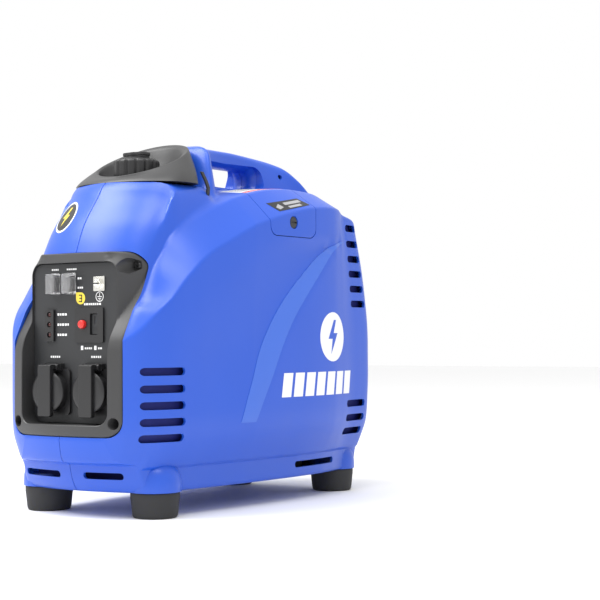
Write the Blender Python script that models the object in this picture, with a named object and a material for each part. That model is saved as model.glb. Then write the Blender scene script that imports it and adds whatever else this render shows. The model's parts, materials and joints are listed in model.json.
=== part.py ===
"""Portable suitcase inverter generator, modelled as separate pieces.

Front is -Y, up is +Z, the recoil starter is on the -X side and the spark plug hatch on the +X side.
The origin is on the ground under the middle of the machine.  Sizes are written in millimetres and
become metres when a mesh is made.
"""
import math

import bmesh
import bpy
import numpy as np
from mathutils import Vector

MM = 0.001
GAP = 0.3                       # clearance between neighbouring pieces
WALL = 3.0                      # thickness of the plastic casing
FLAT = math.radians(0.2)        # faces closer in angle than this are merged into one

# Driving dimensions of the body
FRONT = -262.0                  # foremost station of the casing
BOTTOM = 30.0                   # underside of the casing, which is the height of the feet
DECK = 396.0                    # flat top under the hood collar
FRONT_RADIUS = 250.0            # plan radius of the nose
REAR_RADIUS = 240.0             # plan radius of the tail
BOSS = 29.8                     # underside of the foot bosses
FOOT_X, FOOT_Y, FOOT_RADIUS = 86.0, 188.0, 29.0

CAP_Y = -122.0                  # axis of the fuel filler
CRANK_Y, CRANK_Z = 20.0, 130.0  # crankshaft axis, along X
ROPE_Y, ROPE_Z = -92.0, 118.0   # where the starter rope comes out
PANEL_FACE = -234.0             # front face of the control panel
SOCKET_X, SOCKET_Z = 32.0, 146.0
HATCH_Y = (-33.0, 62.0)
HATCH_Z = 335.0
SERVICE_Y = (19.0, 205.0)
SERVICE_Z = (64.0, 374.0)
BEZEL_HOLE = (-88, 91, 88, 313, 22, 4)          # x and z limits, corner radius and its steps
COVER_SCREW = (105, 387)                        # y and z
HANDLE_SCREWS = ((135, 427, 12), (-42, 441, 12))  # y, z and depth of the pocket's floor
SWITCH_X = (-31.0, -6.0)
SWITCH_Z = 273.0
SWITCH_TILT = math.radians(8)


# ---------------------------------------------------------------- small tools
def clear_scene():
    for item in list(bpy.data.objects):
        bpy.data.objects.remove(item, do_unlink=True)


def material(name, colour, roughness, metallic=0.0, alpha=1.0):
    made = bpy.data.materials.new(name)
    made.use_nodes = True
    shader = made.node_tree.nodes["Principled BSDF"]
    shader.inputs["Base Color"].default_value = (*colour, 1.0)
    shader.inputs["Roughness"].default_value = roughness
    shader.inputs["Metallic"].default_value = metallic
    shader.inputs["Alpha"].default_value = alpha
    made.diffuse_color = (*colour, 1.0)
    return made


def finish_mesh(mesh):
    """Point every face outwards and shade it smooth up to its edges."""
    work = bmesh.new()
    work.from_mesh(mesh)
    bmesh.ops.recalc_face_normals(work, faces=work.faces)
    work.to_mesh(mesh)
    work.free()
    mesh.shade_smooth()
    mesh.set_sharp_from_angle(angle=math.radians(35))


def solid(name, points, faces, paint, origin=(0, 0, 0)):
    """A closed mesh from points in millimetres, with its object origin at `origin`."""
    base = Vector(origin)
    mesh = bpy.data.meshes.new(name)
    mesh.from_pydata([(Vector(p) - base) * MM for p in points], [], faces)
    finish_mesh(mesh)
    mesh.materials.append(paint)
    made = bpy.data.objects.new(name, mesh)
    made.location = base * MM
    bpy.context.scene.collection.objects.link(made)
    return made


def on_axis(axis, first, second, along):
    """A point from its two in-plane values and its place along an axis."""
    return {"x": (along, first, second), "y": (first, along, second), "z": (first, second, along)}[axis]


def prism(name, outline, axis, low, high, paint, origin=(0, 0, 0)):
    """An outline pushed along an axis: (y, z) along x, (x, z) along y or (x, y) along z."""
    count = len(outline)
    points = [on_axis(axis, a, b, low) for a, b in outline]
    points += [on_axis(axis, a, b, high) for a, b in outline]
    faces = [tuple(range(count))[::-1], tuple(range(count, 2 * count))]
    for i in range(count):
        j = (i + 1) % count
        faces.append((i, j, j + count, i + count))
    return solid(name, points, faces, paint, origin)


def box(name, low, high, paint, origin=(0, 0, 0)):
    outline = rectangle(low[0], low[1], high[0], high[1])
    return prism(name, outline, "z", low[2], high[2], paint, origin)


def turned(name, profile, axis, centre, paint, sides=24, origin=None):
    """A profile of (radius, place along the axis) points turned about an axis through `centre`.

    A profile that starts and ends on the axis makes a plain solid, any other one a ring.
    """
    points, rings = [], []
    for radius, along in profile:
        turns = 1 if radius == 0 else sides
        rings.append([len(points) + k for k in range(turns)])
        for k in range(turns):
            angle = 2 * math.pi * k / sides
            points.append(on_axis(axis, centre[0] + radius * math.cos(angle),
                                  centre[1] + radius * math.sin(angle), along))
    pairs = list(zip(rings, rings[1:]))
    if profile[0][0] > 0:
        pairs.append((rings[-1], rings[0]))
    faces = []
    for lower, upper in pairs:
        for k in range(sides):
            n = (k + 1) % sides
            corners = [lower[k % len(lower)], lower[n % len(lower)],
                       upper[n % len(upper)], upper[k % len(upper)]]
            faces.append(tuple(dict.fromkeys(corners)))
    return solid(name, points, faces, paint, origin or (0, 0, 0))


def rectangle(a0, b0, a1, b1):
    return [(a0, b0), (a1, b0), (a1, b1), (a0, b1)]


def round_box(a0, b0, a1, b1, radius, steps=3):
    """A rectangle with round corners, counter-clockwise."""
    corners = [(a1 - radius, b0 + radius, -90), (a1 - radius, b1 - radius, 0),
               (a0 + radius, b1 - radius, 90), (a0 + radius, b0 + radius, 180)]
    return [(a + radius * math.cos(math.radians(start + 90 * k / steps)),
             b + radius * math.sin(math.radians(start + 90 * k / steps)))
            for a, b, start in corners for k in range(steps + 1)]


def circle(a, b, radius, sides=24):
    return [(a + radius * math.cos(2 * math.pi * k / sides),
             b + radius * math.sin(2 * math.pi * k / sides)) for k in range(sides)]


def combine(target, tools, operation="DIFFERENCE"):
    """Boolean all the `tools` with `target` at once, keep the result as its mesh, and remove the tools."""
    work = bmesh.new()
    work.from_mesh(target.data)
    bmesh.ops.triangulate(work, faces=work.faces)
    work.to_mesh(target.data)
    work.free()
    group = bpy.data.collections.new("tools")
    for tool in tools:
        group.objects.link(tool)
    step = target.modifiers.new("combine", "BOOLEAN")
    step.operation = operation
    step.solver = "EXACT"
    step.operand_type = "COLLECTION"
    step.collection = group
    bpy.context.view_layer.update()
    evaluated = target.evaluated_get(bpy.context.evaluated_depsgraph_get())
    result = bpy.data.meshes.new_from_object(evaluated)
    target.modifiers.clear()
    target.data = result
    for tool in tools:
        bpy.data.objects.remove(tool, do_unlink=True)
    bpy.data.collections.remove(group)
    work = bmesh.new()
    work.from_mesh(result)
    bmesh.ops.dissolve_limit(work, angle_limit=FLAT, verts=work.verts, edges=work.edges)
    work.to_mesh(result)
    work.free()
    result.shade_smooth()
    result.set_sharp_from_angle(angle=math.radians(35))
    return target


def duplicate(source, name):
    copy = source.copy()
    copy.data = source.data.copy()
    copy.name = name
    bpy.context.scene.collection.objects.link(copy)
    return copy


def curve(*points):
    """A smooth line through (place, value) points that never swings past them."""
    place = np.array([p[0] for p in points], float)
    value = np.array([p[1] for p in points], float)
    step = np.diff(place)
    rise = np.diff(value) / step
    slope = np.zeros(len(place))
    for i in range(1, len(place) - 1):
        if rise[i - 1] * rise[i] > 0:
            before, after = 2 * step[i] + step[i - 1], step[i] + 2 * step[i - 1]
            slope[i] = (before + after) / (before / rise[i - 1] + after / rise[i])
    slope[0], slope[-1] = rise[0], rise[-1]

    def read(at):
        at = min(max(at, place[0]), place[-1])
        i = min(int(np.searchsorted(place, at, side="right")) - 1, len(step) - 1)
        t = (at - place[i]) / step[i]
        return float((1 + 2 * t) * (1 - t) ** 2 * value[i] + t * (1 - t) ** 2 * step[i] * slope[i]
                     + t * t * (3 - 2 * t) * value[i + 1] + t * t * (t - 1) * step[i] * slope[i + 1])
    return read


# ---------------------------------------------------------------- form of the casing
# Each line gives a feature of the half cross-section along the length of the machine.
half_width = curve((-262, 85), (-258, 96), (-250, 107), (-238, 115), (-220, 121), (-190, 126),
                   (-150, 130), (-100, 135), (-50, 139), (0, 142), (60, 144), (120, 144),
                   (180, 141), (210, 138), (230, 131), (240, 122), (246, 108))
underside = curve((-262, 96), (-258, 81), (-242, 66), (-230, 38), (-222, 30), (222, 30), (232, 42),
                  (240, 62), (246, 86))
band_low = curve((-262, 205), (-227, 250), (-184, 284), (-115, 322), (-41, 351), (17, 366),
                 (61, 374), (108, 377), (150, 376), (180, 375), (205, 371), (229, 362), (246, 318))
band_high = curve((-262, 206), (-252, 238), (-240, 268), (-215, 298), (-178, 326), (-145, 344),
                  (-110, 361), (-41, 386), (17, 397), (60, 400), (105, 400), (169, 396), (205, 386),
                  (229, 372), (246, 324))
band_x = curve((-262, 84), (-240, 96), (-215, 99), (-178, 102), (-100, 104), (60, 106), (124, 106),
               (169, 104), (205, 98), (229, 88), (246, 72))
ridge_top = curve((-262, 208), (-252, 242), (-242, 278), (-233, 308), (-219, 342), (-205, 363),
                  (-195, 376), (-180, 396), (-81, 396), (-57, 449), (-19, 455), (41, 455),
                  (121, 448), (161, 440), (189, 426), (209, 404), (225, 381), (235, 358), (246, 328))
ridge_x = curve((-262, 72), (-240, 84), (-215, 86), (-180, 84), (-100, 80), (-81, 70), (-57, 62),
                (-45, 50), (-31, 37), (-14, 24), (3, 18), (38, 17), (72, 18), (107, 22), (141, 29),
                (176, 41), (210, 56), (229, 58), (246, 50))
foot_x = curve((-262, 78), (-240, 92), (-215, 95), (-180, 95), (-100, 92), (-81, 84), (-57, 74),
               (-45, 62), (-31, 50), (-14, 38), (3, 26), (38, 22), (72, 25), (107, 37), (141, 46),
               (176, 53), (210, 60), (229, 62), (246, 56))
STATIONS = (-262, -252, -240, -230, -215, -196, -180, -130, -81, -57, -40, -18, 10, 60, 107, 145,
            176, 205, 228, 238, 246)
HANDLE_HOLLOW = (-60.0, 120.0)   # the grip and its roots are solid plastic between these


def half_section(station, inset=0.0):
    """Half cross-section points (x, z) from the bottom seam, round the side, to the top seam."""
    width, low = half_width(station), underside(station)
    skirt = width - 22
    crease = max(58.0, low + 4)
    tuck = max(92.0, crease + 5)
    side = max(112.0, tuck + 6)
    lower = max(band_low(station), side + 20)
    upper = max(band_high(station), lower + 1)
    top = max(ridge_top(station), upper + 2)
    root = min(upper + 0.35 * (top - upper), upper + 4.5)
    ridge = ridge_x(station)
    seam = GAP / 2
    thin = inset / WALL
    points = [(seam, low + inset), (0.5 * skirt, low + inset), (skirt - inset, low + inset),
              (skirt + 1 - inset, crease + thin), (width - 3 - inset, tuck), (width - inset, side),
              (width - inset, lower - thin),
              (band_x(station) - thin, upper - inset), (foot_x(station) - inset, root - inset),
              (ridge - inset, max(top - 9, root + 0.5 * (top - root)) - inset),
              (0.6 * ridge, top - 0.8 - inset), (seam, top - inset)]
    if inset and HANDLE_HOLLOW[0] < station < HANDLE_HOLLOW[1]:
        points[9:] = [(x, root - inset) for x, z in points[9:]]
    return points


def bend(x, station):
    """Real y of a point, so that the nose and the tail are round in plan."""
    front = min(max((-station - 60) / 140, 0), 1)
    rear = min(max((station - 90) / 110, 0), 1)
    return station + front * x * x / (2 * FRONT_RADIUS) - rear * x * x / (2 * REAR_RADIUS)


def half_shell(name, side, paint):
    """One hollow half of the casing: an outer skin, an inner skin and the seam rim between them."""
    points, faces = [], []
    skins = []
    for inset in (0.0, WALL):
        shrink = 1 - inset / -FRONT
        grid = []
        for station in STATIONS:
            row = []
            for x, z in half_section(station, inset):
                row.append(len(points))
                points.append((side * x, bend(x, station * shrink), z))
            grid.append(row)
        skins.append(grid)
    count = len(skins[0][0])
    for grid in skins:
        for here, after in zip(grid, grid[1:]):
            for j in range(count - 1):
                faces.append((here[j], here[j + 1], after[j + 1], after[j]))
        for row in (grid[0], grid[-1]):
            for j in range(count // 2 - 1):
                faces.append((row[j], row[j + 1], row[count - 2 - j], row[count - 1 - j]))
    outer, inner = skins
    for j in (0, count - 1):
        for i in range(len(STATIONS) - 1):
            faces.append((outer[i][j], outer[i + 1][j], inner[i + 1][j], inner[i][j]))
    for i in (0, len(STATIONS) - 1):
        faces.append((outer[i][0], outer[i][count - 1], inner[i][count - 1], inner[i][0]))
    return solid(name, points, faces, paint)


def vent_slots(side, paint):
    """Cutters for the louvre slots on one side."""
    made = []
    rows = [((-262, -196), z) for z in (175, 154, 135, 115, 95)]
    rows += [((159, 199), z) for z in (354, 333, 313, 293, 273, 253, 172, 151, 131, 111, 92)]
    for index, ((front, rear), z) in enumerate(rows):
        if side > 0 and rear > 0 and z in (172, 151):
            continue
        reach = sorted((side * 95, side * 160))
        made.append(box(f"slot_{index}", (reach[0], front, z - 4), (reach[1], rear, z + 4), paint))
    return made


def casings(paint):
    """Both clamshell halves with their openings, and the two covers cut out of them."""
    pieces = {}
    for name, side in (("recoil_side_casing", -1), ("plug_side_casing", 1)):
        shell = half_shell(name, side, paint)
        bosses = [turned("boss", [(0, BOSS), (31, BOSS), (31, 48), (26, 57), (0, 63)],
                         "z", (side * FOOT_X, y), paint, 16) for y in (-FOOT_Y, FOOT_Y)]
        combine(shell, bosses, "UNION")
        tools = [
            prism("panel_hole", round_box(*BEZEL_HOLE), "y", -300, -195, paint),
            prism("grille_hole", round_box(-106, 99, 106, 319, 24, 2), "y", 215, 300, paint),
            prism("filler_hole", circle(0, CAP_Y, 50, 20), "z", DECK - 8, DECK + 8, paint),
            prism("finger_gap", round_box(-36, 406.3, 98, 433, 13, 3), "x", -120, 120, paint),
            prism("skirt_slot", round_box(45, 42, 143, 50, 3, 1), "x", *sorted((side * 100, side * 150)),
                  paint),
            box("front_slot", (min(side * 14, side * 55), -260, 43), (max(side * 14, side * 55), -216, 50),
                paint)]
        tools += vent_slots(side, paint)
        pieces[name] = combine(shell, tools)
    left, right = pieces["recoil_side_casing"], pieces["plug_side_casing"]

    cover = duplicate(left, "maintenance_cover")
    (y0, y1), (z0, z1) = SERVICE_Y, SERVICE_Z
    combine(cover, [prism("keep", round_box(y0 + GAP, z0 + GAP, y1 - GAP, z1 - GAP, 9), "x",
                          -160, -108, paint)], "INTERSECT")
    combine(left, [prism("drop", round_box(y0, z0, y1, z1, 9), "x", -160, -108 + GAP, paint)])
    hatch = duplicate(right, "spark_plug_cover")
    y0, y1 = HATCH_Y
    combine(hatch, [prism("keep", round_box(y0 + GAP, HATCH_Z + GAP, y1 - GAP, 440, 12), "x",
                          52 + GAP, 160, paint)], "INTERSECT")
    combine(right, [prism("drop", round_box(y0, HATCH_Z, y1, 441, 12), "x", 52, 160, paint)])

    combine(cover, [prism("choke_slot", round_box(79, 348, 133, 370, 4, 2), "x", -160, -100, paint)])
    combine(hatch, [prism("screw_hole", circle(14, 353, 4.4, 12), "x", 100, 160, paint)])
    combine(left, [
        prism("recoil_hole", round_box(-125.5, 89.5, -58.5, 226.5, 33, 5), "x", -160, -105, paint),
        prism("cover_screw_hole", circle(*COVER_SCREW, 5.4, 14), "x", -160, -100, paint),
        prism("drain_hole", circle(1, 53, 3, 8), "x", -160, -100, paint),
        prism("lock_hole", circle(-35, 150, 8, 12), "x", -160, -100, paint)])
    for y, z, reach in HANDLE_SCREWS:
        combine(left, [prism("screw_pocket", circle(y, z, 5.0, 12), "x", -160, -reach, paint)])


# ---------------------------------------------------------------- hood, filler and feet
def hood_collar(paint):
    """Sloping collar round the filler: outer foot, outer rim, inner rim, bowl and floor hole."""
    points, faces = [], []
    sides = 28
    rings = []
    for k in range(sides):
        angle = 2 * math.pi * k / sides
        c, s = math.cos(angle), math.sin(angle)
        back = max(s, 0) ** 0.6
        rise = max(s, -0.2)
        foot = (83 * c - 8 * c * back, -128 + 51 * min(s, 0) + 60 * back)
        rim = (71 * c, -122 + 50 * min(s, 0) + 72 * back, 423 + 27 * min(s, 0) + 29 * back + 3 * abs(c))
        lip = (62 * c, -120 + 43 * s + 8 * max(s, 0), 422 + 25 * s + 2 * abs(c))
        middle = (79 * c, -126 + 51 * min(s, 0) + 64 * back, 409 + 8 * rise)
        ring = [(*foot, DECK + GAP), (*middle,), rim, lip, (50 * c, CAP_Y + 42 * s, 409),
                (46 * c, CAP_Y + 39 * s, 404), (31 * c, CAP_Y + 31 * s, 403),
                (31 * c, CAP_Y + 31 * s, DECK + GAP)]
        rings.append([len(points) + j for j in range(len(ring))])
        points.extend(ring)
    count = len(rings[0])
    for k in range(sides):
        here, after = rings[k], rings[(k + 1) % sides]
        for j in range(count):
            n = (j + 1) % count
            faces.append((here[j], here[n], after[n], after[j]))
    made = solid("hood_collar", points, faces, paint)
    wedge = prism("wedge", [(-84.2, DECK - 5), (-57.5, 449.6), (-50, 470), (-20, 470), (-20, DECK - 5)],
                  "x", -120, 120, paint)
    return combine(made, [wedge])


def fuel_cap(black, rubber):
    outline = []
    for k in range(32):
        radius = 28.5 if k % 4 < 2 else 27.3
        outline.append((radius * math.cos(2 * math.pi * k / 32),
                        CAP_Y + radius * math.sin(2 * math.pi * k / 32)))
    origin = (0, CAP_Y, 415)
    body = prism("fuel_cap", outline, "z", 407, 430, black, origin)
    combine(body, [prism("thread", circle(0, CAP_Y, 25, 16), "z", 400, 415, black)])
    grip = round_box(-24, CAP_Y - 7, 24, CAP_Y + 7, 6)
    prism("fuel_cap_vent_lever", grip, "z", 430 + GAP, 438, black, (0, CAP_Y, 430))
    turned("fuel_cap_seal", [(20.5, 412 + GAP), (24.2, 412 + GAP), (24.2, 415 - GAP), (20.5, 415 - GAP)],
           "z", (0, CAP_Y), rubber, 16, (0, CAP_Y, 413))


def fuel_tank(paint):
    outline = [(-172, 226), (-34, 226), (-26, 234), (-26, 366), (-34, 374), (-160, 374), (-182, 342),
               (-182, 236)]
    inner = [(-169, 229), (-37, 229), (-29, 237), (-29, 363), (-37, 371), (-158, 371), (-179, 340),
             (-179, 239)]
    tank = prism("fuel_tank", outline, "x", -70, 70, paint)
    combine(tank, [prism("neck", circle(0, CAP_Y, 24, 16), "z", 372, 412, paint)], "UNION")
    return combine(tank, [prism("hollow", inner, "x", -67, 67, paint),
                          prism("neck_bore", circle(0, CAP_Y, 20, 16), "z", 365, 420, paint)])


def feet(paint):
    places = {"front_right": (1, -1), "front_left": (-1, -1), "rear_right": (1, 1), "rear_left": (-1, 1)}
    for name, (sx, sy) in places.items():
        turned(f"rubber_foot_{name}", [(0, 0), (24.5, 0), (26.5, 2), (FOOT_RADIUS, 22),
                                       (FOOT_RADIUS, BOSS - GAP), (0, BOSS - GAP)],
               "z", (sx * FOOT_X, sy * FOOT_Y), paint, 20)


# ---------------------------------------------------------------- control panel
bezel_face = curve((90, -262), (108, -264.6), (150, -264.6), (202, -262), (226, -250), (242, -243),
                   (286, -240), (314, -232))


def panel_bezel(paint):
    """A raised frame round the control panel, bulging forward at its foot."""
    outer = round_box(-87.6, 91.4, 87.6, 312.6, 21.6, 4)
    inner = round_box(-67, 100, 67, 304, 14, 4)
    heights = (150, 202, 222, 242)
    widths = (-30, 0, 30)
    points, faces, rings = [], [], []

    def divided(outline):
        """The outline with extra points along its four straight sides."""
        quarter = len(outline) // 4
        (right, _), (_, high) = outline[quarter - 1], outline[2 * quarter - 1]
        (left, _), (_, low) = outline[3 * quarter - 1], outline[-1]
        return (outline[:quarter] + [(right, z) for z in heights]
                + outline[quarter:2 * quarter] + [(x, high) for x in reversed(widths)]
                + outline[2 * quarter:3 * quarter] + [(left, z) for z in reversed(heights)]
                + outline[3 * quarter:] + [(x, low) for x in widths])

    for (xo, zo), (xi, zi) in zip(divided(outer), divided(inner)):
        front_o = bend(xo, bezel_face(zo) + 1.5)
        front_i = bend(xi, bezel_face(zi))
        ring = [(xo, -214, zo), (xo, front_o, zo), (xi, front_i, zi), (xi, -214, zi)]
        rings.append([len(points) + j for j in range(4)])
        points.extend(ring)
    for k, here in enumerate(rings):
        after = rings[(k + 1) % len(rings)]
        for j in range(4):
            n = (j + 1) % 4
            faces.append((here[j], here[n], after[n], after[j]))
    frame = solid("panel_bezel", points, faces, paint)
    pockets = [prism("pocket", circle(sx * 76.5, z, 6.2, 8), "y", -280, -224, paint)
               for sx in (-1, 1) for z in (296, 108)]
    return combine(frame, pockets)


def control_panel(paint):
    plate = prism("control_panel", round_box(-66.5, 100.5, 66.5, 303.5, 13.5, 2), "y", PANEL_FACE,
                  PANEL_FACE + 3, paint)
    holes = [prism("socket_hole", circle(sx * SOCKET_X, SOCKET_Z, 22, 16), "y", -240, -225, paint)
             for sx in (-1, 1)]
    for centre in SWITCH_X:
        holes.append(box("switch_hole", (centre - 5, -240, SWITCH_Z - 10), (centre + 5, -225, SWITCH_Z + 10),
                         paint))
    holes.append(box("dc_hole", (4, -240, 207), (42, -225, 241), paint))
    holes.append(box("lamp_hole", (-45, -240, 208), (-33, -225, 240), paint))
    holes.append(prism("stud_hole", circle(38, 272, 3.4, 8), "y", -240, -225, paint))
    combine(plate, holes)


def switches(black, clear):
    """Two rockers, each tilted to its off side, under clear splash boots."""
    for name, centre in zip(("econ_switch", "engine_switch"), SWITCH_X):
        pivot_y, pivot_z = -231.0, SWITCH_Z
        outline = []
        for y, z in ((-226, -8.5), (-238.5, -8.5), (-237, 0), (-238.5, 8.5), (-226, 8.5)):
            dy, dz = y - pivot_y, z
            outline.append((pivot_y + dy * math.cos(SWITCH_TILT) - dz * math.sin(SWITCH_TILT),
                            pivot_z + dy * math.sin(SWITCH_TILT) + dz * math.cos(SWITCH_TILT)))
        prism(name, outline, "x", centre - 4.2, centre + 4.2, black, (centre, pivot_y, pivot_z))
        outer = round_box(centre - 6.8, SWITCH_Z - 12, centre + 6.8, SWITCH_Z + 12, 2.5, 2)
        boot = prism(f"{name}_boot", outer, "y", -245.3, PANEL_FACE - GAP, clear)
        combine(boot, [box("hollow", (centre - 5.6, -244.1, SWITCH_Z - 10.8),
                           (centre + 5.6, -230, SWITCH_Z + 10.8), clear)])


def panel_fittings(black, red, metal):
    lamps = box("indicator_block", (-46, -237, 205), (-32, PANEL_FACE - GAP, 243), black)
    back = box("lamp_back", (-44.5, -236, 208.5), (-33.5, -224, 239.5), black)
    combine(lamps, [back], "UNION")
    combine(lamps, [prism("lamp_dimple", circle(-39, z, 3.2, 10), "y", -240, -235.4, black)
                    for z in (236.5, 224, 211.5)])

    plate = box("dc_socket_plate", (1, -236.5, 203.5), (45, PANEL_FACE - GAP, 244.5), black)
    combine(plate, [box("dc_back", (4.5, -236, 207.5), (41.5, -216, 240.5), black)], "UNION")
    combine(plate, [prism("button_hole", circle(14, 225, 5.6, 16), "y", -240, -210, black),
                    box("dc_slot", (25, -240, 213), (36, -222, 237), black)])
    turned("dc_breaker_button", [(0, -241), (4.2, -241), (5, -240), (5, -228), (0, -228)], "y",
           (14, 225), red, 16, (14, -237, 225))

    turned("ground_terminal", [(0, -246), (3, -246), (3, -241.5), (6.8, -241.5), (6.8, -237.2),
                               (9.4, -237.2), (9.4, PANEL_FACE - GAP), (3, PANEL_FACE - GAP),
                               (3, -222), (0, -222)], "y", (38, 272), metal, 12)


def ac_sockets(black):
    """Two mains sockets, each under a spring flap hinged at its top."""
    for name, sx in (("left", -1), ("right", 1)):
        x = sx * SOCKET_X
        body = prism(f"ac_socket_{name}", round_box(x - 26, SOCKET_Z - 27, x + 26, SOCKET_Z + 27, 5, 2),
                     "y", -237.3, PANEL_FACE - GAP, black)
        combine(body, [prism("collar", circle(x, SOCKET_Z, 23.5, 20), "y", -246, -236, black),
                       prism("rear_body", circle(x, SOCKET_Z, 21.6, 12), "y", -236, -206, black)],
                "UNION")
        combine(body, [prism("mouth", circle(x, SOCKET_Z, 19.5, 16), "y", -250, -226, black)])
        hinge_y, hinge_z = -242.0, SOCKET_Z + 29
        flap = prism(f"ac_flap_{name}", circle(x, SOCKET_Z, 24.5, 20), "y", -250.5, -246 - GAP, black,
                     (x, hinge_y, hinge_z))
        rib = prism("rib", round_box(x - 10, SOCKET_Z - 29, x + 10, SOCKET_Z + 32, 3, 1), "y",
                    -254, -247, black)
        barrel = prism("barrel", circle(hinge_y, hinge_z, 4.2, 8), "x", x - 10, x + 10, black)
        knuckle = prism("knuckle", rectangle(x - 10, hinge_z - 1.5, x + 10, hinge_z + 3), "y",
                        -249, hinge_y, black)
        combine(flap, [rib, barrel, knuckle], "UNION")


# ---------------------------------------------------------------- covers, choke, recoil and rear
def cover_fittings(black, metal):
    y, z = COVER_SCREW
    turned("maintenance_cover_screw", [(0, -122), (4.9, -122), (4.9, -117), (3, -117), (3, -104),
                                       (0, -104)], "x", (y, z), metal, 14, (-120, y, z))
    turned("spark_plug_cover_screw", [(0, 144.6), (7.5, 144.6), (8, 143.4), (3.9, 143.4), (3.9, 128),
                                      (0, 128)], "x", (14, 353), metal, 16, (143, 14, 353))
    lever = box("choke_lever", (-142.5, 82, 350.5), (-135.5, 96, 367.5), black)
    combine(lever, [box("stem", (-137, 86, 356), (-112, 92, 362), black)], "UNION")
    for index, (y, z, reach) in enumerate(HANDLE_SCREWS):
        name = ("handle_screw_rear", "handle_screw_front")[index]
        turned(name, [(0, -reach - 4), (4.4, -reach - 4), (4.4, -reach - GAP), (0, -reach - GAP)], "x",
               (y, z), metal, 14)


def recoil_starter(black, cord, metal):
    cup = prism("recoil_recess", round_box(-125, 90, -59, 226, 32.5, 5), "x", -134, -108, black)
    combine(cup, [prism("hollow", round_box(-122, 93, -62, 223, 29.5, 5), "x", -150, -111, black),
                  prism("rope_hole", circle(ROPE_Y, ROPE_Z, 4, 12), "x", -120, -100, black)])
    combine(cup, [turned("bush", [(4, -116), (19.5, -116), (19.5, -110), (4, -110)], "x",
                         (ROPE_Y, ROPE_Z), black, 16)], "UNION")
    grip = prism("recoil_grip", round_box(ROPE_Y - 11, 112, ROPE_Y + 11, 214, 10.5, 4), "x",
                 -144.5, -124, black, (-124, ROPE_Y, ROPE_Z))
    hub = prism("hub", circle(ROPE_Y, ROPE_Z, 18.5, 16), "x", -131, -118, black)
    combine(grip, [hub], "UNION")
    turned("starter_rope", [(0, -118 + GAP), (2.5, -118 + GAP), (2.5, 122), (0, 122)], "x",
           (ROPE_Y, ROPE_Z), cord, 10, (-118, ROPE_Y, ROPE_Z))
    turned("recoil_housing", [(0, -114), (56, -114), (61, -110), (61, -92), (58, -92), (58, -108.5),
                              (6.5, -111), (6.5, -94), (0, -94)], "x", (CRANK_Y, CRANK_Z), black, 20)
    turned("recoil_reel", [(7, -107), (50, -107), (50, -104), (45, -104), (45, -97), (50, -97), (50, -94),
                           (7, -94)], "x", (CRANK_Y, CRANK_Z), metal, 20, (-100, CRANK_Y, CRANK_Z))


grille_face = curve((88, 250.5), (110, 256), (182, 261.5), (242, 263), (282, 261.5), (322, 254),
                    (330, 250.5))


def bowed_block(name, sink, outline, back, paint):
    """The grille's bowed front, sunk by `sink`, carried back to the station `back` within an outline."""
    heights = [90, 112, 182, 242, 282, 328]
    columns = [-110, -78, -40, 0, 40, 78, 110]
    points, faces, grid = [], [], {}
    for layer in (0, 1):
        for i, z in enumerate(heights):
            for j, x in enumerate(columns):
                grid[layer, i, j] = len(points)
                points.append((x, bend(x, back if layer else grille_face(z) - sink), z))
    last_i, last_j = len(heights) - 1, len(columns) - 1
    for layer in (0, 1):
        for i in range(last_i):
            for j in range(last_j):
                faces.append((grid[layer, i, j], grid[layer, i, j + 1], grid[layer, i + 1, j + 1],
                              grid[layer, i + 1, j]))
    edge = [(0, j) for j in range(last_j)] + [(i, last_j) for i in range(last_i)]
    edge += [(last_i, j) for j in range(last_j, 0, -1)] + [(i, 0) for i in range(last_i, 0, -1)]
    for (i, j), (m, n) in zip(edge, edge[1:] + edge[:1]):
        faces.append((grid[0, i, j], grid[0, m, n], grid[1, m, n], grid[1, i, j]))
    block = solid(name, points, faces, paint)
    return combine(block, [prism("keep", outline, "y", 200, 300, paint)], "INTERSECT")


def rear_grille(paint):
    """A bowed tray with level louvres and an opening for the exhaust."""
    tray = bowed_block("rear_grille", 0, round_box(-104, 98, 104, 320, 23, 3), 247.5, paint)
    tools = [bowed_block("hollow", 3.5, round_box(-100, 102, 100, 316, 19, 3), 235, paint)]
    for index in range(9):
        z = 118 + 22 * index
        reach = 90 if 110 < z < 300 else 78
        spans = [(-reach, -36), (36, reach)] if 228 < z < 300 else [(-reach, reach)]
        tools += [box(f"louvre_{index}", (x0, 200, z - 4), (x1, 300, z + 4), paint) for x0, x1 in spans]
    tools.append(prism("outlet_hole", round_box(-29, 243, 29, 287, 6, 2), "y", 200, 300, paint))
    combine(tray, tools)


def exhaust(metal, dark):
    outlet = prism("exhaust_outlet", round_box(-28, 244, 28, 286, 6, 2), "y", 236, 265, dark)
    combine(outlet, [prism("bore", round_box(-23, 249, 23, 281, 4, 2), "y", 240, 280, dark)])
    box_outline = round_box(-62, 168, 72, 300, 22)
    muffler = prism("muffler", box_outline, "y", 140, 214, metal)
    tail = prism("tail", circle(0, 265, 14, 16), "y", 212, 235.5, metal)
    combine(muffler, [tail], "UNION")
    combine(muffler, [prism("bore", circle(0, 265, 12, 16), "y", 200, 250, metal)])
    turned("exhaust_pipe", [(0, 62 + GAP), (13, 62 + GAP), (13, 140 - GAP), (0, 140 - GAP)], "y",
           (40, 270), metal, 16)


# ---------------------------------------------------------------- engine and alternator
def comb(half, low, high, depth, pitch, thick):
    """A finned outline (across, up), mirrored about zero."""
    right = []
    z = low
    while z + pitch <= high:
        right += [(half, z), (half, z + thick), (half - depth, z + thick), (half - depth, z + pitch)]
        z += pitch
    right += [(half, z), (half, high)]
    return right + [(-a, b) for a, b in reversed(right)]


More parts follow.
